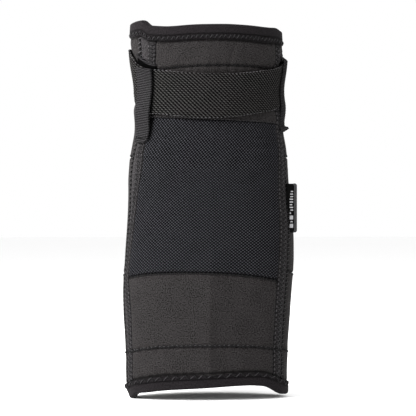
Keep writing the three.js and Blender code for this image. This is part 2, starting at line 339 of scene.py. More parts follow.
# Below the strap the waist is shallower between 48 and 125 degrees, either way round from the crook.
# Only the pieces whose angles are negative, such as the left strip, keep the whole of it.
WAIST_FADE = {"share": 0.33, "start": (48, 62), "stop": (-125, -105), "above": 2, "below": 7}


def crease(s, z, angle, height, length, width, slope, rise):
    """A smooth ridge along its slope."""
    along, up = s - arc_of(angle), z - height
    lean = math.radians(slope)
    forward = along * math.cos(lean) + up * math.sin(lean)
    sideways = up * math.cos(lean) - along * math.sin(lean)
    return rise * bump(forward, length) * bump(sideways, width)


def skin(s, z):
    """How far the fabric stands from the smooth sleeve: sag, creases, sewn lines, the strap's squeeze."""
    angle = angle_of(s)
    out = sum(rise * lumps(s, z, size, seed) for rise, size, seed in SAG)
    for shape in CREASES:
        out = out + crease(s, z, *shape)
    from_fold = np.abs(s - arc_of(FOLD["turn"] - twist_at(z)))
    fold_rise = mix(FOLD["low_rise"], FOLD["high_rise"], ease(z, FOLD["start"], FOLD["stop"]))
    out = out + fold_rise * np.exp(-from_fold / FOLD["spread"])
    at_front = np.abs(angle - 180) < 180 - SIDE_SEAM
    cross_depth = np.where(at_front, SEAM_DIP["front"], SEAM_DIP["crook"])
    from_cross = cross_distance(s, z)
    out = out - SEAM_DIP["upright"] * bump(seam_distance(s, z), SEAM_DIP["upright_spread"])
    out = out - cross_depth * bump(from_cross, SEAM_DIP["cross_spread"])
    drift = 2 * lumps(s, z, PUCKER["lumps"], PUCKER["seed"])
    pucker = PUCKER["size"] * np.sin(2 * np.pi * s / PUCKER["period"] + drift)
    out = out + pucker * bump(from_cross, PUCKER["spread"])
    above_strap = z - strap_height(angle)
    from_strap = np.abs(above_strap)
    folded = np.abs(angle - 180) - 180
    at_side = ease(-folded, *WAIST_FADE["start"]) * ease(folded, *WAIST_FADE["stop"])
    edge = STRAP["width"] / 2
    below = ease(-above_strap, edge - WAIST_FADE["above"], edge + WAIST_FADE["below"])
    out = out - WAIST_FADE["share"] * swell(STRAP_WAIST, z) * at_side * below
    out = out - STRAP_PRESS["depth"] * (1 - ease(from_strap, STRAP_PRESS["start"], STRAP_PRESS["stop"]))
    return out + swell(STRAP_RIDGE, from_strap)


def shading(s, z):
    """Painted shade, from 0 to 1: in the grooves of the sewn lines and their needle holes, beside the hems,
    and the left keeper's painted shadow.
    """
    # The painted shade along the upright seams deepens at each needle hole.
    holes = 0.55 + 0.4 * np.cos(2 * np.pi * z / SEAM_PITCH)
    sewn = bump(seam_distance(s, z), 0.75) * holes + 0.95 * bump(cross_distance(s, z), 0.8)
    return np.clip(sewn + keeper_shadow(s, z), 0, 1)


# ---- Meshes ----


def new_object(name, points, faces, attributes=()):
    """A mesh object from points in metres, with its point attributes."""
    mesh = bpy.data.meshes.new(name)
    mesh.from_pydata(points.tolist(), [], faces)
    for key, values in attributes:
        set_attribute(mesh, key, values)
    return linked(name, mesh)


def set_attribute(mesh, key, values):
    """Stores a number or a triple at every point of a mesh."""
    kind, field = ("FLOAT_VECTOR", "vector") if values.ndim == 2 else ("FLOAT", "value")
    layer = mesh.attributes.get(key) or mesh.attributes.new(key, kind, "POINT")
    layer.data.foreach_set(field, values.astype(np.float32).ravel())


def linked(name, mesh):
    """An object in the scene that shows a mesh, smooth."""
    mesh.shade_smooth()
    made = bpy.data.objects.new(name, mesh)
    bpy.context.scene.collection.objects.link(made)
    return made


def grid_faces(rows, columns, first=0, closed_rows=False, closed_columns=False):
    """Quads over a grid of points, whose columns run round the sleeve and rows up it."""
    row = np.arange(rows if closed_rows else rows - 1)[:, None]
    column = np.arange(columns if closed_columns else columns - 1)[None, :]
    next_row, next_column = (row + 1) % rows, (column + 1) % columns
    corners = [(row, column), (row, next_column), (next_row, next_column), (next_row, column)]
    quads = np.stack([first + r * columns + c for r, c in corners], axis=-1)
    return quads.reshape(-1, 4).tolist()


def slab(name, s, z, outer, inner, stride=3, shade=None):
    """A closed sheet of fabric. s, z and both offsets are grids; the inner face is stride times coarser."""
    rows, columns = s.shape
    few = (slice(None, None, stride), slice(None, None, stride))
    face = sleeve_point(angle_of(s), z, outer).reshape(-1, 3)
    back = sleeve_point(angle_of(s[few]), z[few], np.broadcast_to(inner, s.shape)[few]).reshape(-1, 3)
    back_rows, back_columns = s[few].shape
    start = len(face)
    faces = grid_faces(rows, columns)
    faces += [quad[::-1] for quad in grid_faces(back_rows, back_columns, start)]

    def rim(outer_edge, inner_edge):
        for step in range(len(inner_edge) - 1):
            along = outer_edge[step * stride : (step + 1) * stride + 1]
            faces.append([along[0], inner_edge[step], inner_edge[step + 1], *along[:0:-1]])

    face_index = np.arange(start).reshape(rows, columns)
    back_index = start + np.arange(len(back)).reshape(back_rows, back_columns)
    rim(face_index[0].tolist(), back_index[0].tolist())
    rim(face_index[-1, ::-1].tolist(), back_index[-1, ::-1].tolist())
    rim(face_index[::-1, 0].tolist(), back_index[::-1, 0].tolist())
    rim(face_index[:, -1].tolist(), back_index[:, -1].tolist())

    flat = np.stack([s, z, np.zeros_like(s)], axis=-1)
    cloth = np.concatenate([flat.reshape(-1, 3), flat[few].reshape(-1, 3)])
    # dark: the painted shade at each point, stored as the shade attribute.
    dark = np.broadcast_to(0 if shade is None else shade, s.shape)
    dark = np.concatenate([dark.ravel(), dark[few].ravel()])
    return new_object(name, np.concatenate([face, back]), faces, [("cloth", cloth), ("shade", dark)])


def even_count(length, step, stride):
    """How many points cover a length at about that step, so that taking each stride-th keeps both ends."""
    return stride * max(2, round(length / step / stride)) + 1


def crossed(up, along):
    """Two grids, from values up the rows and values along the columns."""
    return np.meshgrid(up, along, indexing="ij")


def strip_grid(left, right, bottom, top, step, stride=3):
    """A grid over part of the sleeve. left and right are angles at a height, and bottom and top are
    heights at an angle."""
    middle = (bottom(0) + top(0)) / 2
    rows = even_count(top(0) - bottom(0), step, stride)
    columns = even_count(arc_of(right(middle)) - arc_of(left(middle)), step, stride)
    v, u = np.linspace(0, 1, rows)[:, None], np.linspace(0, 1, columns)[None, :]
    nominal = mix(bottom(0), top(0), v)
    s = mix(arc_of(left(nominal)), arc_of(right(nominal)), u) + 0 * v
    z = mix(bottom(angle_of(s)), top(angle_of(s)), v) + 0 * s
    from_side = np.minimum(s - s[:, :1], s[:, -1:] - s)
    from_end = np.minimum(z - z[:1], z[-1:] - z)
    return s, z, np.minimum(from_side, from_end)


def rounded(from_edge, depth, radius):
    """How far an edge falls away: depth at the edge, nothing a radius in."""
    t = np.clip(1 - from_edge / radius, 0, 1)
    return depth * (1 - np.sqrt(1 - t * t))


def ring(name, profile, columns, wave, seed, detail=None):
    """A closed ring round the sleeve. profile is an array of (offset, z) points round its section, and
    detail may move the ring's points and paint shade on them."""
    angles = np.linspace(0, 360, columns, endpoint=False)[:, None]
    offsets, heights = profile.T[:, None, :]
    turn = np.radians(angles)
    random = np.random.default_rng(seed)
    waves = sum(
        random.uniform(0.4, 1) * np.cos(count * turn + random.uniform(0, 6.3)) / math.sqrt(count)
        for count in (3, 4, 7, 11, 17)
    )
    points = sleeve_point(angles, heights, offsets + wave * waves)
    s = arc_of(angles) + 0 * heights
    z = heights + 0 * angles
    # dark: the painted shade that detail gives each point.
    points, dark = detail(points, s, z, offsets + 0 * angles) if detail else (points, 0.0 * s)
    faces = grid_faces(columns, len(profile), closed_rows=True, closed_columns=True)
    cloth = np.stack([s, z, offsets + 0 * angles], axis=-1).reshape(-1, 3)
    made = new_object(name, points.reshape(-1, 3), faces, [("cloth", cloth), ("shade", dark.ravel())])
    return face_outwards(made)


def face_outwards(made):
    """Turns a closed mesh right side out."""
    shape = bmesh.new()
    shape.from_mesh(made.data)
    bmesh.ops.recalc_face_normals(shape, faces=shape.faces)
    shape.to_mesh(made.data)
    shape.free()
    return made


def tubes(name, paths, radius, sides=6, blunt=0.35):
    """One closed tube along each path. paths is an array of (tubes, points, 3), in metres."""
    paths = np.asarray(paths, float)
    count, steps, _ = paths.shape
    along = np.gradient(paths, axis=1)
    along /= np.linalg.norm(along, axis=2, keepdims=True) + 1e-12
    hint = np.where(np.abs(along[..., 2:3]) > 0.9, np.array([1.0, 0, 0]), np.array([0, 0, 1.0]))
    side = np.cross(along, hint)
    side /= np.linalg.norm(side, axis=2, keepdims=True) + 1e-12
    up = np.cross(side, along)
    turn = np.linspace(0, 2 * np.pi, sides, endpoint=False)
    share = np.linspace(-1, 1, steps)
    girth = radius * MM * (blunt + (1 - blunt) * np.sqrt(np.clip(1 - share**4, 0, 1)))
    circle = np.cos(turn)[:, None] * side[:, :, None, :] + np.sin(turn)[:, None] * up[:, :, None, :]
    points = paths[:, :, None, :] + circle * girth[None, :, None, None]
    one = [quad[::-1] for quad in grid_faces(steps, sides, closed_columns=True)]
    one += [list(range(sides)), [(steps - 1) * sides + k for k in reversed(range(sides))]]
    faces = [[tube * steps * sides + k for k in face] for tube in range(count) for face in one]
    return face_outwards(new_object(name, points.reshape(-1, 3), faces))


def thread_paths(stitches, points, level, arch=0.0):
    """Threads between the (s, z) starts and ends of stitches, arched over the offset that level gives."""
    starts, ends = stitches
    t = np.linspace(0, 1, points)[None, :]
    s, z = (mix(starts[:, axis : axis + 1], ends[:, axis : axis + 1], t) for axis in (0, 1))
    return sleeve_point(angle_of(s), z, level(s, z) + arch * np.sin(np.pi * t))


def joined(rows):
    """Rows of stitches as one pair of starts and ends."""
    return [np.concatenate(side) for side in zip(*rows)]


def parted(stitches):
    """Zigzag stitches as two rows: those that go one way and those that come back."""
    return [tuple(side[first::2] for side in stitches) for first in (0, 1)]


def distances(line):
    """How far along a line of points each of them is."""
    return np.concatenate([[0], np.cumsum(np.hypot(*np.diff(line, axis=0).T))])


def points_along(line, marks):
    """The points at the given distances along a line."""
    distance = distances(line)
    return np.stack([np.interp(marks, distance, line[:, axis]) for axis in (0, 1)], axis=1)


def zigzag(line, across, period):
    """Starts and ends of zigzag stitches about a line of (s, z) points, with the given width."""
    length = distances(line)[-1]
    halves = 2 * int(length / period)
    s, z = points_along(line, np.linspace(0, length, halves + 1)).T
    heading = np.stack([np.gradient(s), np.gradient(z)], axis=1)
    heading /= np.linalg.norm(heading, axis=1, keepdims=True)
    sideways = np.stack([-heading[:, 1], heading[:, 0]], axis=1)
    swing = np.where(np.arange(halves + 1) % 2, across / 2, -across / 2)[:, None]
    points = np.stack([s, z], axis=1) + sideways * swing
    return points[:-1], points[1:]


def running(line, stitch, space):
    """Starts and ends of a straight row of stitches along a line of (s, z) points."""
    starts = np.arange(0, distances(line)[-1] - stitch, stitch + space)
    return points_along(line, starts), points_along(line, starts + stitch)


def across_line(height_at, first, last, points=120):
    angle = np.linspace(first, last, points)
    return np.stack([arc_of(angle), height_at(angle) + 0 * angle], axis=1)


def upright_line(angle_at, bottom, top, shift=0.0, points=160):
    z = np.linspace(bottom, top, points)
    return np.stack([arc_of(angle_at(z) + 0 * z) + shift, z], axis=1)


# ---- Finishes ----

MESH_PITCH = (1.1, 1.05)  # from hole to hole, across and up
TWILL_RIBS, TWILL_PICKS = (2.6, 2.2), 1.3
TWILL_RIB_SHARE = 0.65
KEEPER_RIB = 1.1
KEEPER_RIB_SLANT = 0.15


def new_material(name):
    """A material, its node tree and its shader."""
    made = bpy.data.materials.new(name)
    made.use_nodes = True
    return made, made.node_tree, made.node_tree.nodes["Principled BSDF"]


def fill(tree, sockets, values):
    """Fills inputs with numbers, or links them to other nodes' outputs."""
    for socket, value in zip(sockets, values):
        if isinstance(value, bpy.types.NodeSocket):
            tree.links.new(value, socket)
        else:
            socket.default_value = value


def fill_named(tree, made, inputs):
    fill(tree, [made.inputs[key] for key in inputs], inputs.values())


def node(tree, kind, *values, **settings):
    """A shader node, with values for its first inputs."""
    made = tree.nodes.new(kind)
    for key, value in settings.items():
        setattr(made, key, value)
    fill(tree, made.inputs, values)
    return made


def noise(tree, where, scale, detail):
    made = node(tree, "ShaderNodeTexNoise", where)
    fill_named(tree, made, {"Scale": scale, "Detail": detail})
    return made.outputs[0]


def relief(tree, height, strength, depth):
    """A bumpy surface normal from a height of 0 to 1, which stands for a depth in millimetres."""
    made = node(tree, "ShaderNodeBump", strength, depth * MM)
    fill_named(tree, made, {"Height": height})
    return made.outputs[0]


def calculate(tree, operation, *values):
    return node(tree, "ShaderNodeMath", *values, operation=operation).outputs[0]


def blend_colours(tree, share, first, last):
    made = node(tree, "ShaderNodeMix", data_type="RGBA")
    fill(tree, [made.inputs[index] for index in (0, 6, 7)], (share, first, last))
    return made.outputs[2]


def linear(red, green, blue):
    """A colour given as it looks on a screen, from 0 to 255."""
    def one(value):
        value /= 255
        return value / 12.92 if value <= 0.04045 else ((value + 0.055) / 1.055) ** 2.4

    return (one(red), one(green), one(blue), 1)


def wave(tree, x, z, across, up):
    """cos(2 pi (x / across + z / up)); a pitch of 0 leaves that direction out."""
    phase = calculate(tree, "MULTIPLY", x, 2 * math.pi / across if across else 0)
    rise = calculate(tree, "MULTIPLY", z, 2 * math.pi / up if up else 0)
    return calculate(tree, "COSINE", calculate(tree, "ADD", phase, rise))


def narrowed(tree, weave):
    """Narrows the bright part of a weave, so that thin yarns stand out of dark gaps."""
    bright = calculate(tree, "MULTIPLY_ADD", weave, -0.5, 0.5)
    return calculate(tree, "MULTIPLY_ADD", calculate(tree, "POWER", bright, 3.2), -2, 1)


def blended(tree, first, share, second):
    """Two weaves added, the first with the given share."""
    most = calculate(tree, "MULTIPLY", first, share)
    return calculate(tree, "ADD", most, calculate(tree, "MULTIPLY", second, 1 - share))


def weave_mesh(tree, x, z):
    """An open mesh: a lattice of wide holes, 1, and small bright knots, -1."""
    across = wave(tree, x, z, 2 * MESH_PITCH[0], 0)
    up = wave(tree, x, z, 0, 2 * MESH_PITCH[1])
    lattice = calculate(tree, "MULTIPLY", across, up)
    return narrowed(tree, lattice)


def weave_twill(tree, x, z):
    """Coarse twill: ribs falling to the right, broken by the picks across them."""
    ribs = wave(tree, x, z, *TWILL_RIBS)
    picks = wave(tree, x, z, 0, TWILL_PICKS)
    return narrowed(tree, blended(tree, ribs, TWILL_RIB_SHARE, picks))


def weave_ribs(tree, x, z):
    """Elastic webbing: ribs that slant a little across the band."""
    fine = wave(tree, x, z, 0.9, 0)
    ribs = wave(tree, x, z, KEEPER_RIB / KEEPER_RIB_SLANT, KEEPER_RIB)
    return blended(tree, ribs, 0.8, fine)


def weave_knit(tree, x, z):
    """Fine jersey loops."""
    return calculate(tree, "MULTIPLY", wave(tree, x, z, 0.8, 0.55), wave(tree, x, z, 0.8, -0.55))


def fabric(name, dark, light, weave, depth, mottle=0.35, weave_share=0.5, rough=0.9, sheen=0.06,
           specular=0.1):
    """Cloth whose threads follow its own flat measure, with mottled yarn, and painted shade towards a near
    black where its shade attribute says.
    """
    made, tree, shader = new_material(name)
    dark, light = linear(*dark), linear(*light)
    cloth = node(tree, "ShaderNodeAttribute", attribute_name="cloth").outputs["Vector"]
    apart = node(tree, "ShaderNodeSeparateXYZ", cloth).outputs
    threads = weave(tree, apart["X"], apart["Y"])
    stretched = node(tree, "ShaderNodeMapping", cloth)
    fill_named(tree, stretched, {"Scale": (1.0, 0.85, 1.0)})
    grain = calculate(tree, "SUBTRACT", noise(tree, stretched.outputs[0], 1.5, 2), 0.5)
    drift = calculate(tree, "SUBTRACT", noise(tree, cloth, 0.09, 3), 0.5)
    level = calculate(tree, "MULTIPLY_ADD", threads, -0.5 * weave_share, 0.5)
    level = calculate(tree, "ADD", level, calculate(tree, "MULTIPLY", grain, 2 * mottle))
    level = calculate(tree, "ADD", level, calculate(tree, "MULTIPLY", drift, 0.2 * mottle))
    level = node(tree, "ShaderNodeClamp", level).outputs[0]
    shade = node(tree, "ShaderNodeAttribute", attribute_name="shade").outputs["Fac"]
    # The colour at full painted shade.
    painted_shade_colour = tuple(0.18 * value for value in dark[:3]) + (1,)
    height = calculate(tree, "MULTIPLY_ADD", threads, -0.5, 0.5)
    height = calculate(tree, "ADD", height, calculate(tree, "MULTIPLY", grain, 0.6))
    fill_named(tree, shader, {
        "Base Color": blend_colours(tree, shade, blend_colours(tree, level, dark, light), painted_shade_colour),
        "Normal": relief(tree, height, 0.8, depth),
        "Roughness": rough,
        "Sheen Weight": sheen,
        "Sheen Roughness": 0.5,
        "Specular IOR Level": specular,
    })
    return made


def plain_finish(name, dark, light, scale, depth, rough, specular=0.4):
    """Thread, rubber or foam: grain by position, with small changes of colour."""
    made, tree, shader = new_material(name)
    grain = noise(tree, node(tree, "ShaderNodeTexCoord").outputs["Object"], scale, 5)

    def grain_from(low, high):
        return node(tree, "ShaderNodeMapRange", grain, 0.3, 0.7, low, high).outputs[0]

    fill_named(tree, shader, {
        "Base Color": blend_colours(tree, grain_from(0.0, 1.0), linear(*dark), linear(*light)),
        "Roughness": grain_from(rough - 0.08, rough + 0.08),
        "Normal": relief(tree, grain, 0.7, depth),
        "Specular IOR Level": specular,
    })
    return made


NEOPRENE = fabric("charcoal_neoprene", (4, 3, 3), (47, 45, 45),
                  weave_knit, 0.10, 1.6, 0.3, sheen=0.02, specular=0.04)
# The side strips' neoprene is paler than the rest as a painted highlight for the grazing light on the
# sleeve's sides. Its sheen is the shader's own.
SIDE_NEOPRENE_PAINTED_HIGHLIGHT = fabric("side_neoprene_painted_highlight", (9, 8, 9), (52, 50, 51),
                       weave_knit, 0.08, 1.6, 0.25, sheen=0.04, specular=0.05)
HEM_CLOTH = fabric("hem_binding", (3, 3, 3), (33, 30, 32),
                   weave_knit, 0.08, 1.2, 0.3, sheen=0.02, specular=0.04)
MESH_CLOTH = fabric("open_mesh", (0, 0, 0), (64, 64, 68),
                    weave_mesh, 0.3, 0.4, 1.0, sheen=0.0, specular=0.02)
STRAP_CLOTH = fabric("strap_twill", (0, 0, 0), (64, 63, 62),
                     weave_twill, 0.3, 0.4, 1.0, sheen=0.0, specular=0.02)
KEEPER_CLOTH = fabric("keeper_webbing", (0, 0, 0), (46, 45, 46),
                      weave_ribs, 0.2, 0.7, 1.7, sheen=0.0, specular=0.02)
COVER_CLOTH = fabric("cover_weave", (3, 3, 3), (27, 26, 27), weave_knit, 0.15, 0.8, 0.5)
PILE = fabric("loop_pile", (3, 3, 3), (30, 30, 31), weave_knit, 0.4, 1.2, 0.2, 0.95, 0.1)
DARK_THREAD = plain_finish("dark_thread", (2, 2, 2), (20, 19, 20), 1500, 0.1, 0.6, 0.1)
HEM_THREAD = plain_finish("hem_thread", (12, 11, 12), (42, 40, 42), 1500, 0.1, 0.55, 0.2)
GREY_THREAD = plain_finish("grey_thread", (28, 27, 28), (68, 66, 68), 1500, 0.1, 0.55, 0.25)
SILICONE = plain_finish("silicone", (12, 12, 12), (22, 22, 23), 400, 0.1, 0.35, 0.4)
RUBBER = plain_finish("satin_rubber", (4, 4, 4), (10, 10, 10), 500, 0.1, 0.5, 0.2)
TAG_RUBBER = plain_finish("tag_rubber", (1, 1, 1), (4, 4, 4), 500, 0.05, 0.7, 0.04)
PALE_RUBBER = plain_finish("pale_rubber", (30, 30, 31), (46, 46, 47), 500, 0.1, 0.5, 0.2)
MARK = plain_finish("printed_mark", (120, 120, 122), (150, 150, 152), 700, 0.05, 0.5, 0.4)
FOAM = plain_finish("impact_foam", (36, 37, 39), (58, 59, 62), 700, 0.3, 0.9, 0.1)


def bend(first, last, points):
    """The two bodies a piece spans, and two points, in metres, where its bend would start and end."""
    start, end = (tuple(point) for point in points)
    return first, last, start, end


BEND = bend("forearm", "upper_arm", [SLEEVE_AXIS + [0, 0, z * MM] for z in (BEND_FROM, BEND_TO)])


def place(made, body, finish, slot, *nodes):
    """Finishes a piece, makes it follow a body or, given two, keeps it where it stands, and hides the CAD
    parts it stands for.
    """
    made.data.materials.append(finish)
    if isinstance(body, str):
        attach(made, body)
    else:
        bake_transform(made)
    if nodes:
        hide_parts(*nodes)
    return made


# ---- Sleeve panels ----

# Added to each side of a panel's flat size. It is an assumed figure, small enough that a panel's area
# still matches its flat area and large enough that the narrow side strips count as sheets.
UNDER_HEM = 1.2  # how far the panels run up into the hems


def panel(name, body, left, right, bottom, top, step, wall=WALL, finish=NEOPRENE, slot="neoprene",
          weave=None):
    s, z, from_edge = strip_grid(left, right, bottom, top, step)
    outer = skin(s, z) - rounded(from_edge, 0.7, 1.2)
    if weave is not None:
        outer = outer + weave(s, z) * ease(from_edge, 0.6, 2.4)
    made = slab(name, s, z, outer, -wall, shade=shading(s, z))
    place(made, body, finish, slot, name)
    return made


def at(value):
    return lambda _: value


def mesh_weave(s, z):
    lattice = np.cos(np.pi * s / MESH_PITCH[0]) * np.cos(np.pi * z / MESH_PITCH[1])
    return -0.3 * lattice


def panels():
    mesh_foot, mesh_head = partial(crook_line, MESH_FOOT), partial(crook_line, MESH_HEAD)
    cuff, top_hem = HEM_LOW - UNDER_HEM, HEIGHT - HEM_HIGH + UNDER_HEM
    rear = {"left": left_edge, "right": rear_edge}
    panel("rear_lower_panel", "forearm", **rear, bottom=at(cuff), top=mesh_foot, step=0.7)
    panel("rear_mesh_panel", BEND, **rear, bottom=mesh_foot, top=mesh_head, step=0.42,
          wall=MESH_WALL, finish=MESH_CLOTH, slot="mesh", weave=mesh_weave)
    panel("rear_upper_panel", "upper_arm", **rear, bottom=mesh_head, top=at(top_hem), step=0.7)
    sides = {"bottom": at(cuff), "top": at(top_hem), "step": 0.5, "finish": SIDE_NEOPRENE_PAINTED_HIGHLIGHT}
    panel("left_side_strip", BEND, at(-SIDE_SEAM), left_edge, **sides)
    panel("right_side_strip", BEND, rear_edge, at(SIDE_SEAM), **sides)
    front = {"left": at(SIDE_SEAM), "right": at(360 - SIDE_SEAM), "step": 0.9}
    panel("front_lower_panel", "forearm", bottom=at(cuff), top=at(CUP_BOTTOM), **front)
    panel("front_middle_panel", BEND, bottom=at(CUP_BOTTOM), top=at(CUP_TOP), **front)
    panel("front_upper_panel", "upper_arm", bottom=at(CUP_TOP), top=at(top_hem), **front)


# ---- Hems ----


def rounded_profile(inner, outer, bottom, top, radius, step):
    """A closed section with round corners, as (offset, z) points."""
    corners = [(outer - radius, top - radius, 0), (inner + radius, top - radius, 90),
               (inner + radius, bottom + radius, 180), (outer - radius, bottom + radius, 270)]
    loop = []
    for offset, z, start in corners:
        for turn in np.radians(np.arange(start, start + 91, 18)):
            loop.append((offset + radius * math.cos(turn), z + radius * math.sin(turn)))
    loop.append(loop[0])
    loop = np.array(loop)
    length = distances(loop)[-1]
    return points_along(loop, np.linspace(0, length, int(length / step), endpoint=False))


# edge: the line at the hem's edge along which its painted shade runs.
HEM_ZIGZAG = {
    "low": {"z": HEM_LOW - 1.9, "width": 2.6, "period": 5.8, "edge": HEM_LOW - 0.3},
    "high": {"z": HEIGHT - HEM_HIGH + 2.3, "width": 2.4, "period": 3.1, "edge": HEIGHT - HEM_HIGH + 0.3},
}


def hem(name, body, bottom, top, zigzag_row, seed):
    middle, reach = zigzag_row["z"], zigzag_row["width"] / 2

    def pinched_and_shaded(points, s, z, offset):
        facing = ease(offset, HEM_PROUD - 1.2, HEM_PROUD)
        sunk = bump(z - middle, reach * 0.9) * facing
        centre = SLEEVE_AXIS + np.array([0, 0, 1]) * points[..., 2:]
        inward = centre - points
        inward /= np.linalg.norm(inward, axis=-1, keepdims=True)
        ripple = 0.2 * np.sin(2 * np.pi * s / zigzag_row["period"] + 2 * lumps(s, z, 9, seed))
        points = points + inward * ((sunk * (0.5 + ripple))[..., None] * MM)
        # Painted shade along the hem's edge and along the line as far on the other side of the zigzag, on
        # the hem's outer face.
        beside = np.minimum(np.abs(z - zigzag_row["edge"]), np.abs(z + zigzag_row["edge"] - 2 * middle))
        return points, 0.9 * bump(beside, 0.55) * ease(offset, -0.8, -0.2)

    profile = rounded_profile(HEM_PROUD - HEM_WALL, HEM_PROUD, bottom, top, 1.5, 0.5)
    made = ring(name, profile, 560, 0.25, seed, pinched_and_shaded)
    place(made, body, HEM_CLOTH, "hem_fabric", name)
    line = across_line(at(middle), 0, 360, 400)
    random = np.random.default_rng(seed)
    stitches = zigzag(line, zigzag_row["width"], zigzag_row["period"])
    stitches = [side + random.uniform(-0.35, 0.35, side.shape) for side in stitches]
    paths = thread_paths(stitches, 7, lambda s, z: HEM_PROUD - 0.25, 0.45)
    place(tubes(f"{name}_zigzag", paths[::2], 0.28), body, HEM_THREAD, "hem_fabric")
    # The returning strokes are thick dark threads: partly thread and partly painted shade in the slants
    # between stitches.
    place(tubes(f"{name}_dark_return_strokes", paths[1::2], 0.42), body, DARK_THREAD, "hem_fabric")


def hems():
    hem("lower_hem", "forearm", 0, HEM_LOW - GAP / 2, HEM_ZIGZAG["low"], 11)
    hem("upper_hem", "upper_arm", HEIGHT - HEM_HIGH + GAP / 2, HEIGHT, HEM_ZIGZAG["high"], 12)


def gripper_band(name, body, bottom, top):
    outer = -WALL - GAP
    inner = outer - GRIPPER["wall"]
    profile = rounded_profile(inner, outer, bottom, top, 0.45, 0.8)
    made = ring(name, profile, 360, 0.1, 5)
    place(made, body, SILICONE, "gripper", name)
    rows = []
    for index, z in enumerate(np.arange(bottom + 2.5, top - 2, 3.2)):
        s = np.arange(2 * (index % 2), arc_of(360) - 3, 4.2)
        rows.append([np.stack([s + along, z + 0 * s], axis=1) for along in (0, 1.6)])
    paths = thread_paths(joined(rows), 4, lambda s, z: inner - 0.1)
    place(tubes(f"{name}_dots", paths, 0.55), body, SILICONE, "gripper")


def grippers():
    from_hem = GRIPPER["from_hem"]
    gripper_band("lower_gripper", "forearm", HEM_LOW + from_hem, GRIPPER["low_top"])
    gripper_band("upper_gripper", "upper_arm", GRIPPER["high_bottom"], HEIGHT - HEM_HIGH - from_hem)


# ---- Sewn lines on the sleeve ----


def sew(name, body, rows, finish, radius, slot="neoprene", lift=0.1, arch=0.3):
    """Threads that lie on the fabric's skin, with the given lift."""
    paths = thread_paths(joined(rows), 6, lambda s, z: skin(s, z) + lift, arch)
    return place(tubes(name, paths, radius), body, finish, slot)


PAINTED_HIGHLIGHT_THREAD_FROM = 190  # above this height the left side seam's returns are drawn in a paler thread, as a painted highlight


def sewn_line(line, reach, lift=0.0):
    """A line sewn across the crook, to the same angle each side, with a lift in millimetres."""
    return across_line(partial(crook_line, line), -reach, reach) + [0, lift]


def upright_seams():
    low, high = HEM_LOW + 0.5, HEIGHT - HEM_HIGH - 0.5
    for side, word, edge in ((-1, "left", left_edge), (1, "right", rear_edge)):
        rows = [running(upright_line(edge, low, high, side * row), 1.9, 1.1) for row in SEAM_ROWS]
        sew(f"{word}_cover_stitch", BEND, rows, GREY_THREAD, 0.28)
        middle = upright_line(edge, low, high, side * sum(SEAM_ROWS) / 2)
        loops, returns = parted(zigzag(middle, SEAM_ROWS[1] - SEAM_ROWS[0] - 0.6, SEAM_PITCH))
        sew(f"{word}_cover_loops", BEND, [loops], DARK_THREAD, 0.4)
        sew(f"{word}_cover_returns", BEND, [returns], HEM_THREAD, 0.22)
        loops, returns = parted(zigzag(upright_line(at(side * SIDE_SEAM), low, high), 2.2, 2.9))
        sew(f"{word}_side_zigzag", BEND, [loops], DARK_THREAD, 0.36)
        # bright: the returns on the left above that height, drawn in grey thread as a painted highlight.
        bright = (returns[0][:, 1] > PAINTED_HIGHLIGHT_THREAD_FROM) & (side < 0)
        sew(f"{word}_side_returns", BEND, [[ends[~bright] for ends in returns]], HEM_THREAD, 0.28)
        if bright.any():
            sew(f"{word}_side_highlight_returns", BEND, [[ends[bright] for ends in returns]], GREY_THREAD, 0.3)


def cross_seams():
    gripper = sewn_line(GRIPPER_LINE, SIDE_SEAM)
    gripper[:, 1] += 0.3 * lumps(gripper[:, 0], 0 * gripper[:, 0], 3.5, 51)
    upper = sewn_line(UPPER_LINE, REAR_EDGE["high"] + 1)
    foot = sewn_line(MESH_FOOT, REAR_EDGE["low"] - 1, -0.6)
    head = sewn_line(MESH_HEAD, REAR_EDGE["low"] - 1, 0.6)
    topstitch = running(gripper + [0, 0.7], 1.2, 1.8)
    sew("lower_gripper_stitch", "forearm", [zigzag(gripper, 1.5, 3.0)], DARK_THREAD, 0.5)
    sew("lower_gripper_topstitch", "forearm", [topstitch], GREY_THREAD, 0.24)
    sew("upper_gripper_stitch", "upper_arm", [zigzag(upper, 1.1, 3.0)], DARK_THREAD, 0.3)
    sew("mesh_foot_stitch", "forearm", [zigzag(foot, 1.5, 2.6)], DARK_THREAD, 0.42, "mesh")
    sew("mesh_top_stitch", "upper_arm", [zigzag(head, 1.4, 2.6)], HEM_THREAD, 0.24, "mesh")


def front_seams():
    def row(height, across):
        return [zigzag(across_line(at(height), SIDE_SEAM + 1, 359 - SIDE_SEAM, 200), across, 3)]

    for name, body, height in (("bottom", "forearm", CUP_BOTTOM - 0.9), ("top", "upper_arm", CUP_TOP + 0.9)):
        sew(f"cup_{name}_stitch", body, row(height, 1.6), DARK_THREAD, 0.26, lift=-0.1, arch=0.2)
    for name, body, height in (("lower", "forearm", "low_top"), ("upper", "upper_arm", "high_bottom")):
        sew(f"{name}_gripper_front_stitch", body, row(GRIPPER[height], 1.2), DARK_THREAD, 0.3)


# ---- Strap ----


# How far the tab's root overlaps the strap's end, and where it bends when it is peeled, in degrees.
TAB_ROOT = {"overlap": 5.5, "bend": (-1.5, 5)}
STRAP_STRETCH = [(50, 0, 217), (56.9, 11.7, 217)]  # the band turns with its end from here to there


def strap_stand_off(angle):
    hugging = 0.2 * ease(-angle, 78, 92) * (1 - ease(-angle, 108, 122))
    return STRAP["clearance"] + STRAP_BOW * np.maximum(0, np.cos(np.radians(angle))) ** 4 - hugging


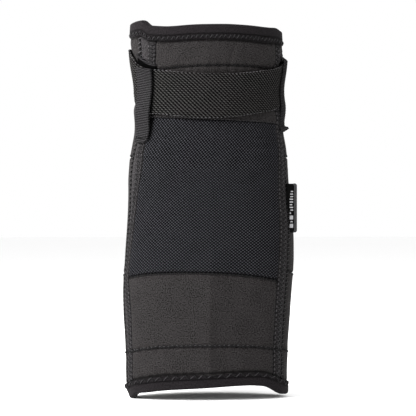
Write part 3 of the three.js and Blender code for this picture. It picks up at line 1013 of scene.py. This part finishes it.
def band_grid(first, last, width, step, stride=3):
    """A grid along the strap: s, how far across it (-1 to 1), and the distance from its rim."""
    columns = even_count(arc_of(last) - arc_of(first), step, stride)
    rows = even_count(width, step, stride)
    across, s = crossed(np.linspace(-1, 1, rows), np.linspace(arc_of(first), arc_of(last), columns))
    from_edge = (1 - np.abs(across)) * width / 2
    from_end = np.minimum(s - s[:, :1], s[:, -1:] - s)
    return s, across, from_edge, from_end


def twill(s, z):
    ribs = np.cos(2 * np.pi * (s / TWILL_RIBS[0] + z / TWILL_RIBS[1]))
    picks = np.cos(2 * np.pi * z / TWILL_PICKS)
    return -0.26 * (TWILL_RIB_SHARE * ribs + (1 - TWILL_RIB_SHARE) * picks)


def band(name, first, last, inner, thickness, width, step, relief, shade=None):
    """A flat piece along the strap's route, with a woven face and round edges."""
    s, across, from_edge, from_end = band_grid(first, last, width, step)
    z = strap_height(angle_of(s)) + across * width / 2
    z = z + 0.18 * lumps(s, 0 * z, 7, 21) * across
    fallen = rounded(np.minimum(from_edge, from_end), thickness * 0.45, 0.8)
    outer = inner(angle_of(s)) + thickness - fallen + relief(s, z, from_edge, from_end)
    return slab(name, s, z, outer, inner(angle_of(s)), shade=shade and shade(s, z))


def strap_relief(s, z, from_edge, from_end):
    beads = 0.25 * bump(from_edge - 0.7, 0.5) * (0.6 + 0.4 * np.cos(2 * np.pi * s / 2.6))
    return twill(s, z) * ease(from_edge, 0.9, 1.6) + beads + 0.2 * lumps(s, z, 22, 4)


def plain_relief(s, z, from_edge, from_end):
    return 0.08 * lumps(s, z, 5, 6)


def pile_relief(s, z, from_edge, from_end):
    return 0.2 * lumps(s, z, 1.1, 8) * ease(from_edge, 0.5, 1.5)


def grip_relief(s, z, from_edge, from_end):
    return 0.35 * np.cos(2 * np.pi * s / 2.4) * ease(np.minimum(from_edge, from_end), 1, 2.5)


def edge_row(first, last, width, inset, stitch=2.0, space=1.0):
    """Straight stitches along both long edges of a band."""
    rows = []
    for side in (-1, 1):
        line = across_line(lambda a: strap_height(a) + side * (width / 2 - inset), first, last)
        rows.append(running(line, stitch, space))
    return rows


def lay(name, body, rows, level, slot="strap_elastic", finish=GREY_THREAD):
    """Threads at a fixed distance from the sleeve, on a band or a patch."""
    paths = thread_paths(joined(rows), 5, lambda s, z: level, 0.25)
    return place(tubes(name, paths, 0.28), body, finish, slot)


def bartack(angle, width, period=1.3):
    """A dense zigzag across the strap."""
    z = np.linspace(strap_height(angle) - width / 2, strap_height(angle) + width / 2, 60)
    line = np.stack([arc_of(angle) + 0 * z, z], axis=1)
    return zigzag(line, 2.4, period)


def belt(fixed, end):
    """The elastic, from where it is sewn down to its pulled end, and the stitches along its edges."""
    width, thickness = STRAP_WORN_WIDTH, STRAP["thickness"]

    def stand_off(angle):
        return mix(strap_stand_off(angle), TAB["stand_off"], ease(angle, end - 12, end))

    pulled = bend("upper_arm", "strap_end", [SLEEVE_AXIS + np.array(point) * MM for point in STRAP_STRETCH])
    made = band("strap_band", fixed, end - 0.4, stand_off, thickness, width, 0.36, strap_relief,
                keeper_shadow)
    place(made, pulled, STRAP_CLOTH, "strap_elastic", "strap_band")
    rows = edge_row(fixed + 1, end - 1, width, 0.35, 1.7, 0.9)
    paths = thread_paths(joined(rows), 4, lambda s, z: stand_off(angle_of(s)) + thickness - 0.45)
    place(tubes("strap_band_selvage", paths, 0.42), pulled, GREY_THREAD, "strap_elastic")


def closing_tab(tab, grip, tip):
    """The tab, whose root lies on the strap's end, where it is sewn down. Its hook patch and its pull grip
    go with it."""
    width, off, inset = STRAP_WORN_WIDTH, TAB["stand_off"], TAB["hook_inset"]
    tab_inner = off + TAB["hook_thickness"] + GAP
    root_inner = off + STRAP["thickness"] + 0.15

    def inner(angle):
        return mix(root_inner, tab_inner, ease(angle, tab - 0.9, tab + 1.6))

    made = band("closing_tab", tab - TAB_ROOT["overlap"], grip, inner, TAB["thickness"], width, 0.45,
                plain_relief)
    points = [sleeve_point(tab + turn, strap_height(tab), tab_inner) for turn in TAB_ROOT["bend"]]
    place(made, bend("strap_end", "tab", points), COVER_CLOTH, "strap_elastic", "closing_tab")
    lay("strap_end_bartack", "strap_end", [bartack(tab - 3.6, width - 3)], root_inner + TAB["thickness"])
    rows = edge_row(tab + 5, grip - 1, width, 2.2)
    rows += [bartack(tab + 6, width - 5), bartack(grip - 3, width - 9)]
    lay("closing_tab_stitching", "tab", rows, tab_inner + TAB["thickness"])
    made = band("hook_patch", tab + inset, grip - inset, at(off), TAB["hook_thickness"],
                TAB["hook_width"], 0.8, pile_relief)
    place(made, "tab", PILE, "hook_and_loop", "hook_patch")
    made = band("pull_grip", grip + 0.4, tip, at(off), PULL_GRIP["thickness"], PULL_GRIP["width"], 0.4,
                grip_relief)
    place(made, "tab", RUBBER, "rubber", "pull_grip")


def loop_patch():
    first, last, thickness = (LOOP_PATCH[key] for key in ("start", "stop", "thickness"))
    width = STRAP_WORN_WIDTH + 2 * LOOP_PATCH["border"]
    made = band("loop_patch", first, last, at(GAP), thickness, width, 0.5, pile_relief)
    place(made, "upper_arm", PILE, "hook_and_loop", "loop_patch")
    rows = edge_row(first + 1, last - 1, width, 1.2)
    lay("loop_patch_stitching", "upper_arm", rows, GAP + thickness, "hook_and_loop")


def strap_anchor():
    first, last, thickness = (ANCHOR_PATCH[key] for key in ("start", "stop", "thickness"))
    width = STRAP_WORN_WIDTH
    made = band("strap_anchor", first, last, at(GAP), thickness, width, 0.4, strap_relief)
    place(made, "upper_arm", STRAP_CLOTH, "strap_elastic", "strap_anchor")
    rows = [bartack(first + 2.5, width - 3), bartack(last - 2.5, width - 3)]
    lay("strap_anchor_stitching", "upper_arm", rows, GAP + thickness)


def strap():
    fixed, end, tab, grip, tip = (STRAP_ANGLES[key] for key in ("fixed", "end", "tab", "grip", "tip"))
    belt(fixed, end)
    made = band("strap_end", end, tab - 1.2, at(TAB["stand_off"]), STRAP["thickness"], STRAP_WORN_WIDTH,
                0.4, strap_relief)
    place(made, "strap_end", STRAP_CLOTH, "strap_elastic", "strap_end")
    closing_tab(tab, grip, tip)
    loop_patch()
    strap_anchor()


# ---- Keepers ----


KEEPER_END = {"radius": 2.4, "least": 0.3, "fold": 0.7, "lip": 0.5}  # its rounded, folded-under ends
KEEPER_TAUT = 0.7  # how much of the sleeve's waist a keeper bridges
BARTACK = {"width": 1.6, "period": 1.2, "margin": 0.8, "above_bottom": 3.4, "below_top": 2.6}
KEEPER_ROOT = {"before": 11, "after": 12, "height": 8.4, "tucked_in": 4, "lip": 1.5, "slope": (1.6, -0.8)}
KEEPER_TAIL = {"start": -3.5, "stop": 4.5, "above": 1.2, "half_height": 2.8, "point": 2.0, "stand_off": 2.6}


def keeper(word):
    """A strip of webbing that rises over the strap, sewn down below it and, on the right, above it."""
    shape = KEEPER_SHAPES[word]
    sewn_above = shape["above"] > 1
    over = STRAP["clearance"] + STRAP["thickness"] + 3 * GAP
    middle, half, bottom, top = keeper_extent(word)
    rows, columns = even_count(top - bottom, 0.25, 3), even_count(2 * half, 0.3, 3)
    z, across = crossed(np.linspace(bottom, top, rows), np.linspace(-1, 1, columns))
    from_tip = np.clip(1 - (z - bottom) / KEEPER_END["radius"], 0, 1)
    s = middle + across * half * np.sqrt(np.clip(1 - from_tip**2, KEEPER_END["least"], 1))
    climb = (z - bottom) / (top - bottom)
    from_side = (1 - np.abs(across)) * half
    from_end = np.minimum(z - bottom, top - z)
    low_ramp = ease(z, bottom + 2, bottom + shape["ramp"])
    high_ramp = 1 - ease(z, top - 3, top - 0.6) * sewn_above
    inner = mix(GAP, over, np.minimum(low_ramp, high_ramp))
    taut = KEEPER_TAUT * (mix(half_width(bottom), half_width(top), climb) - half_width(z)) + GAP
    inner = np.maximum(inner, taut * high_ramp)
    ribs = 0.24 * np.cos(2 * np.pi * (z + KEEPER_RIB_SLANT * s) / KEEPER_RIB)
    rim = rounded(np.minimum(from_side, from_end), KEEPER["thickness"] * 0.5, 0.7)
    fold = KEEPER_END["fold"] * bump(top - z - 1.3, 0.9) + KEEPER_END["lip"] * bump(z - bottom - 1.5, 1.2)
    outer = inner + KEEPER["thickness"] - rim + ribs * ease(from_side, 0.3, 1) + fold
    made = slab(f"{word}_keeper", s, z, outer, inner)
    place(made, "upper_arm", KEEPER_CLOTH, "keeper_elastic", f"{word}_keeper")
    half -= BARTACK["margin"]
    heights = [bottom + BARTACK["above_bottom"]]
    if sewn_above:
        heights.append(top - BARTACK["below_top"])
    lines = [np.stack([middle + np.linspace(-half, half, 30), np.full(30, z)], axis=1) for z in heights]
    rows = [zigzag(line, BARTACK["width"], BARTACK["period"]) for line in lines]
    level = GAP + KEEPER["thickness"] + 0.1
    lay(f"{word}_keeper_bartacks", "upper_arm", rows, level, "keeper_elastic", DARK_THREAD)


def keeper_root():
    """The sewn end of the left keeper's webbing, which shows above the strap as a slot with a lip; the
    slot's darkness is painted shadow.
    """
    root, height = KEEPER_ROOT, KEEPER_ROOT["height"]
    first, last = arc_of(KEEPER["left"] - root["before"]), arc_of(KEEPER["left"] + root["after"])
    columns = even_count(last - first, 0.4, 3)
    up, s = crossed(np.linspace(0, height, 31), np.linspace(first, last, columns))
    slope = mix(*root["slope"], (s - first) / (last - first))
    z = strap_height(angle_of(s)) + STRAP["width"] / 2 - root["tucked_in"] + up + slope
    lip = 0.9 * bump(height - up - 0.9, 0.8)
    outer = GAP + 0.7 + lip - rounded(height - up, 0.5, 0.6)
    # Painted shadow over the slot, fading out just below the lip.
    dark = 0.98 * (1 - ease(up, height - root["lip"] - 0.7, height - root["lip"]))
    made = slab("left_keeper_root", s, z, outer, GAP - 0.6, shade=dark)
    place(made, "upper_arm", KEEPER_CLOTH, "keeper_elastic")


def keeper_tail():
    """The folded end of the right keeper's webbing, which sticks out below it with a pointed corner."""
    middle, _, bottom, _ = keeper_extent("right")
    tail = KEEPER_TAIL
    v, u = crossed(np.linspace(-1, 1, 19), np.linspace(0, 1, 25))
    s = middle + mix(tail["start"], tail["stop"], u)
    z = bottom + tail["above"] + v * (tail["half_height"] - tail["point"] * u) + u
    out = GAP + 0.6 + tail["stand_off"] * u**1.5
    outer = out + 0.9 - 0.5 * np.abs(v) ** 3 + 0.15 * np.cos(2 * np.pi * z / KEEPER_RIB)
    made = slab("right_keeper_tail", s, z, outer, out)
    place(made, "upper_arm", KEEPER_CLOTH, "keeper_elastic")


# ---- Side tag ----

TAG_SEWN_IN = 1.6  # how far it runs into its seam


def tag_outline(reach, height, corner, steps=6):
    turns = [(-90, reach - corner, corner), (0, reach - corner, height - corner)]
    points = [(-TAG_SEWN_IN, 0)]
    for start, r, z in turns:
        for turn in np.radians(np.linspace(start, start + 90, steps)):
            points.append((r + corner * math.cos(turn), z + corner * math.sin(turn)))
    return points + [(-TAG_SEWN_IN, height)]


def tag_place(r, t, z):
    """Tag space (outwards, thickness, up) to the row frame."""
    root = sleeve_point(TAG["angle"], TAG["bottom"] + TAG["height"] / 2, GAP)
    lean = math.radians(TAG_ROOT["lean"])
    x = root[0] + (TAG_ROOT["clearance"] + r * math.cos(lean) - t * math.sin(lean)) * MM
    y = root[1] + (r * math.sin(lean) + t * math.cos(lean)) * MM
    return Vector((x, y, (TAG["bottom"] + z) * MM))


def tag_plate(name, outline, half_thickness, bevel):
    shape = bmesh.new()
    faces = (-half_thickness, half_thickness)
    sides = [[shape.verts.new(tag_place(r, t, z)) for r, z in outline] for t in faces]
    shape.faces.new(sides[0])
    shape.faces.new(list(reversed(sides[1])))
    for index in range(len(outline)):
        after = (index + 1) % len(outline)
        shape.faces.new([sides[0][after], sides[0][index], sides[1][index], sides[1][after]])
    bmesh.ops.recalc_face_normals(shape, faces=shape.faces)
    edges = [e for e in shape.edges if e.calc_face_angle(0) > 0.6]
    bmesh.ops.bevel(shape, geom=edges, offset=bevel * MM, segments=3, affect="EDGES", profile=0.6)
    mesh = bpy.data.meshes.new(name)
    shape.to_mesh(mesh)
    shape.free()
    return linked(name, mesh)


# A plain pattern of bars in place of the printing: where each starts and stops outwards, and how tall
# it is.
TAG_MARKS = [
    (0.4, 2.8, 2.6), (0.9, 2.4, 0.9), (0.4, 2.8, 2.6), (0.4, 1.3, 1.2),
    (1.0, 2.8, 0.8), (0.4, 2.8, 0.8), (0.4, 2.2, 0.8), (0.4, 2.8, 0.8),
    (0.4, 2.8, 0.8), (0.8, 2.8, 0.7), (0.8, 2.8, 0.7), (1.2, 2.8, 0.7),
]


def side_tag():
    reach, height, half = TAG["reach"], TAG["height"], TAG["thickness"] / 2
    body = tag_plate("side_tag", tag_outline(reach, height, TAG["corner"]), half, 0.35)
    place(body, BEND, TAG_RUBBER, "rubber", "side_tag")
    outline = tag_outline(reach + 0.25, height + 0.2, TAG["corner"])
    inner = tag_outline(reach - 1.7, height - 1.5, TAG["corner"] * 0.6)
    ring_outline = outline[1:-1] + [(r, z + 0.7) for r, z in reversed(inner[1:-1])]
    edge = tag_plate("side_tag_edge", ring_outline, half + 0.25, 0.2)
    place(edge, BEND, PALE_RUBBER, "rubber")
    z = 3.2
    for index, (low, high, tall) in enumerate(TAG_MARKS):
        bar = [(low, z), (high, z), (high, z + tall), (low, z + tall)]
        place(tag_plate(f"side_tag_mark_{index + 1}", bar, half + 0.14, 0.1), BEND, MARK, "rubber")
        z += tall + 1.0


# ---- Pads ----


def pad_angle_edge(pad, v):
    return pad["half_angle"] * (1 - PAD_NARROWING * np.minimum(1, np.abs(2 * v - 1)) ** 4)


def pad_grid(pad, margin, rows, columns):
    """Angles and heights over a pad, with a margin in millimetres past the foam."""
    v, u = crossed(np.linspace(0, 1, rows), np.linspace(-1, 1, columns))
    z = mix(pad["bottom"] - margin, pad["top"] + margin, v)
    share = (z - pad["bottom"]) / (pad["top"] - pad["bottom"])
    reach = arc_of(180 + pad_angle_edge(pad, np.clip(share, 0, 1))) - arc_of(180) + margin
    corner = np.sqrt(1 - np.abs(2 * v - 1) ** 8 * 0.35)
    s = arc_of(180) + u * reach * corner
    return s, z, u, share


def pillow(name, pad):
    """The pad's filled shape, blown up a little by cloth simulation so that it is drawn in at its seams."""
    s, z, u, v = pad_grid(pad, 0, 25, 37)
    crown = pad["crown"] * 0.86 * np.clip(1 - u**4, 0, 1) * np.clip(1 - (2 * v - 1) ** 4, 0, 1)
    made = slab(name, s, z, PAD_CLEARANCE + PAD_EDGE + 0.8 + crown, PAD_CLEARANCE, stride=1)
    remesh = made.modifiers.new("remesh", "REMESH")
    remesh.mode = "VOXEL"
    remesh.voxel_size = 2.4 * MM
    apply_modifiers(made)
    inflate(made, COVER_SWELL)
    smooth = made.modifiers.new("smooth", "SUBSURF")
    smooth.levels = 1
    smooth.render_levels = 1
    apply_modifiers(made)
    return made


def apply_modifiers(made):
    graph = bpy.context.evaluated_depsgraph_get()
    made.data = bpy.data.meshes.new_from_object(made.evaluated_get(graph))
    made.modifiers.clear()


def triples(made, field):
    """A value of three numbers at every point of a mesh: "co", its place, or "normal"."""
    values = np.empty(len(made.data.vertices) * 3)
    made.data.vertices.foreach_get(field, values)
    return values.reshape(-1, 3)


def set_points(made, points):
    made.data.vertices.foreach_set("co", points.astype(np.float32).ravel())
    made.data.update()


def inflate(made, cap):
    """Swells a padded piece with Blender's cloth; no point moves further than cap millimetres."""
    before = triples(made, "co")
    cloth = made.modifiers.new("cloth", "CLOTH")
    cloth.settings.use_pressure = True
    cloth.settings.uniform_pressure_force = 4
    cloth.settings.effector_weights.gravity = 0
    cloth.settings.quality = 5
    scene = bpy.context.scene
    for number in range(1, 21):
        scene.frame_set(number)
    apply_modifiers(made)
    scene.frame_set(1)
    moved = triples(made, "co") - before
    length = np.linalg.norm(moved, axis=1, keepdims=True)
    set_points(made, before + moved * np.minimum(1, cap * MM / np.maximum(length, 1e-9)))


def unrolled(points):
    """s and nominal z of points on the elbow side, where nothing is lifted."""
    z = points[:, 2] / MM
    x, y = ((points[:, axis] - SLEEVE_AXIS[axis]) / MM for axis in (0, 1))
    x, y = x - bumps(SWAYS, z), y - swell(ELBOW_BULGE, z)
    turn = np.degrees(np.arctan2(x / half_width(z), -y / FRONT_DEPTH)) % 360
    return arc_of(turn - twist_at(z)), z


PAD_CHANNELS = {"elbow": (0.27, 0.52, 0.77), "forearm": (0.5,), "upper_arm": ()}
# The channels curve like a smile across the pad.
# The channels also carry painted shade in their grooves; the last two entries say how dark it is and how far
# it spreads.
CHANNEL = {"sag": 5, "rise": 2.5, "spread": 1.9, "depth": 2.2, "dark": 0.6, "shade_spread": 0.8}
COVER_SWELL = 2.0
STUDS = {"up": 4.2, "along": 5.2, "stagger": 2.6, "from_channel": 2.8, "half_length": 0.95, "radius": 0.85}
# The flat border a cover is sewn down by. half_width stands for the pads' own, to round the side edges.
PAD_BORDER = {"width": 6, "level": 1.5, "half_width": 40}


def channel_height(pad, share, s):
    reach = arc_of(180 + pad["half_angle"]) - arc_of(180)
    sag = CHANNEL["sag"] * (1 - ((s - arc_of(180)) / reach) ** 2)
    return mix(pad["bottom"], pad["top"], share) - sag + CHANNEL["rise"]


def pad_piece(word, pad, body):
    made = pillow(f"{word}_cover", pad)
    points, normals = triples(made, "co"), triples(made, "normal")
    s, z = unrolled(points)
    outwards = normals[:, 1] > -0.2
    # dark: the painted shade in the channels' grooves, from 0 to 1.
    dark = np.zeros(len(points))
    for share in PAD_CHANNELS[word]:
        near = np.abs(z - channel_height(pad, share, s))
        sunk = bump(near, CHANNEL["spread"]) * outwards
        points = points - normals * (sunk * CHANNEL["depth"] * MM)[:, None]
        dark = np.maximum(dark, CHANNEL["dark"] * bump(near, CHANNEL["shade_spread"]) * outwards)
    points = points + normals * (0.12 * lumps(s, z, 6, 41) * MM)[:, None]
    set_points(made, points)
    core_points = points - normals * (1.7 * MM)
    core = new_object(f"{word}_foam", core_points, [list(face.vertices) for face in made.data.polygons])
    place(core, body, FOAM, "foam", f"{word}_foam")
    set_attribute(made.data, "cloth", np.stack([s, z, 0 * s], axis=1))
    set_attribute(made.data, "shade", dark)
    made.data.shade_smooth()
    surface = BVHTree.FromObject(made, bpy.context.evaluated_depsgraph_get())
    shell = made.modifiers.new("shell", "SOLIDIFY")
    shell.thickness = 1.0 * MM
    shell.offset = -1
    apply_modifiers(made)
    made.data.shade_smooth()
    place(made, body, COVER_CLOTH, "cover_fabric", f"{word}_cover")

    s, z, u, _ = pad_grid(pad, PAD_BORDER["width"], 40, 90)
    from_edge = np.minimum((1 - np.abs(u)) * PAD_BORDER["half_width"], np.minimum(z - z.min(), z.max() - z))
    outer = skin(s, z) + PAD_BORDER["level"] - rounded(from_edge, 0.8, 1.2)
    base = slab(f"{word}_cover_border", s, z, outer, PAD_CLEARANCE - 0.4, 1)
    place(base, body, COVER_CLOTH, "cover_fabric")
    rim = np.concatenate([
        np.stack([s[3, 4:-4], z[3, 4:-4]], axis=1),
        np.stack([s[3:-3, -5], z[3:-3, -5]], axis=1),
        np.stack([s[-4, -5:3:-1], z[-4, -5:3:-1]], axis=1),
        np.stack([s[-4:2:-1, 4], z[-4:2:-1, 4]], axis=1),
    ])
    stitches = [running(rim, 2.0, 1.0)]
    sew(f"{word}_cover_stitching", body, stitches, GREY_THREAD, 0.3, "cover_fabric", 1.55, 0.2)
    return surface


def studs(word, pad, body, surface):
    """Rubber studs over the crown of a pad."""
    paths = []
    reach = arc_of(180 + pad["half_angle"]) - arc_of(180)
    for row, z in enumerate(np.arange(pad["bottom"] + 7, pad["top"] - 6, STUDS["up"])):
        first = arc_of(180) - reach + 9 + STUDS["stagger"] * (row % 2)
        for s in np.arange(first, arc_of(180) + reach - 8, STUDS["along"]):
            gaps = [abs(z - channel_height(pad, share, s)) for share in PAD_CHANNELS[word]]
            if gaps and min(gaps) < STUDS["from_channel"]:
                continue
            start = sleeve_point(angle_of(s), z, 40)
            aim = sleeve_point(angle_of(s), z, 0) - start
            hit, normal, _, _ = surface.ray_cast(Vector(start), Vector(aim).normalized())
            if hit is None:
                continue
            side = normal.cross(Vector((0, 0, 1))).normalized()
            reaches = np.linspace(-1, 1, 6) * STUDS["half_length"] * MM
            paths.append([tuple(hit + side * along + normal * (0.1 * MM)) for along in reaches])
    made = tubes(f"{word}_studs", np.array(paths), STUDS["radius"], 8, 0.2)
    place(made, body, RUBBER, "cover_fabric")


def pads():
    bodies = {"elbow": BEND, "forearm": "forearm", "upper_arm": "upper_arm"}
    for word, pad in PADS.items():
        surface = pad_piece(word, pad, bodies[word])
        studs(word, pad, bodies[word], surface)


# ---- Studio ----

CAMERA = {"azimuth": -5.5, "distance": 1100, "frame_width": 275.8, "height": 125.3, "aside": 0.7}
# Watts, metres and degrees; an azimuth of 0 is in front of the crook.
LIGHTS = {
    "key": {"power": 48, "size": 0.7, "azimuth": -62, "elevation": 26, "distance": 1.3},
    "fill": {"power": 1, "size": 1.0, "azimuth": 50, "elevation": 20, "distance": 1.4},
    "left_rim": {"power": 3, "size": 0.5, "azimuth": -115, "elevation": 15, "distance": 1.1},
    "right_rim": {"power": 3, "size": 0.4, "azimuth": 112, "elevation": 15, "distance": 1.1},
    "back": {"power": 6, "size": 1.0, "azimuth": 190, "elevation": 35, "distance": 1.4},
}


def stage_material():
    made, tree, shader = new_material("pale_floor")
    fill_named(tree, shader, {"Base Color": (0.95, 0.95, 0.95, 1), "Roughness": 0.9})
    return made


def light(name, power, size, azimuth, elevation, distance):
    data = bpy.data.lights.new(name, "AREA")
    data.energy = power
    data.size = size
    made = bpy.data.objects.new(name, data)
    turn, rise = math.radians(azimuth), math.radians(elevation)
    way = Vector((math.sin(turn) * math.cos(rise), -math.cos(turn) * math.cos(rise), math.sin(rise)))
    target = Vector((0, 0, CAMERA["height"] * MM))
    made.location = target + way * distance
    made.rotation_euler = (-way).to_track_quat("-Z", "Y").to_euler()
    bpy.context.scene.collection.objects.link(made)


def studio():
    scene = bpy.context.scene
    scene.view_settings.view_transform = "Standard"
    world = bpy.data.worlds.new("studio")
    world.use_nodes = True
    world.node_tree.nodes["Background"].inputs[0].default_value = (1, 1, 1, 1)
    world.node_tree.nodes["Background"].inputs[1].default_value = 1.0
    scene.world = world
    corners = np.array([[-1, -1, 0], [1, -1, 0], [1, 1, 0], [-1, 1, 0]], float)
    floor = new_object("floor", 6 * corners, [[0, 1, 2, 3]])
    floor.data.materials.append(stage_material())
    for name, settings in LIGHTS.items():
        light(name, **settings)


def camera():
    turn = math.radians(CAMERA["azimuth"])
    way = np.array([math.sin(turn), -math.cos(turn), 0])
    aside = np.array([math.cos(turn), math.sin(turn), 0]) * CAMERA["aside"]
    target = SLEEVE_AXIS + (aside + np.array([0, 0, CAMERA["height"]])) * MM
    data = bpy.data.cameras.new("camera")
    data.sensor_width = 36
    data.lens = data.sensor_width * CAMERA["distance"] / CAMERA["frame_width"]
    data.clip_start, data.clip_end = 0.05, 50
    made = bpy.data.objects.new("camera", data)
    made.location = Vector(target + way * CAMERA["distance"] * MM)
    made.rotation_euler = Vector(-way).to_track_quat("-Z", "Y").to_euler()
    bpy.context.scene.collection.objects.link(made)
    bpy.context.scene.camera = made


studio()
camera()
panels()
hems()
grippers()
upright_seams()
cross_seams()
front_seams()
strap()
keeper("left")
keeper_root()
keeper("right")
keeper_tail()
side_tag()
pads()
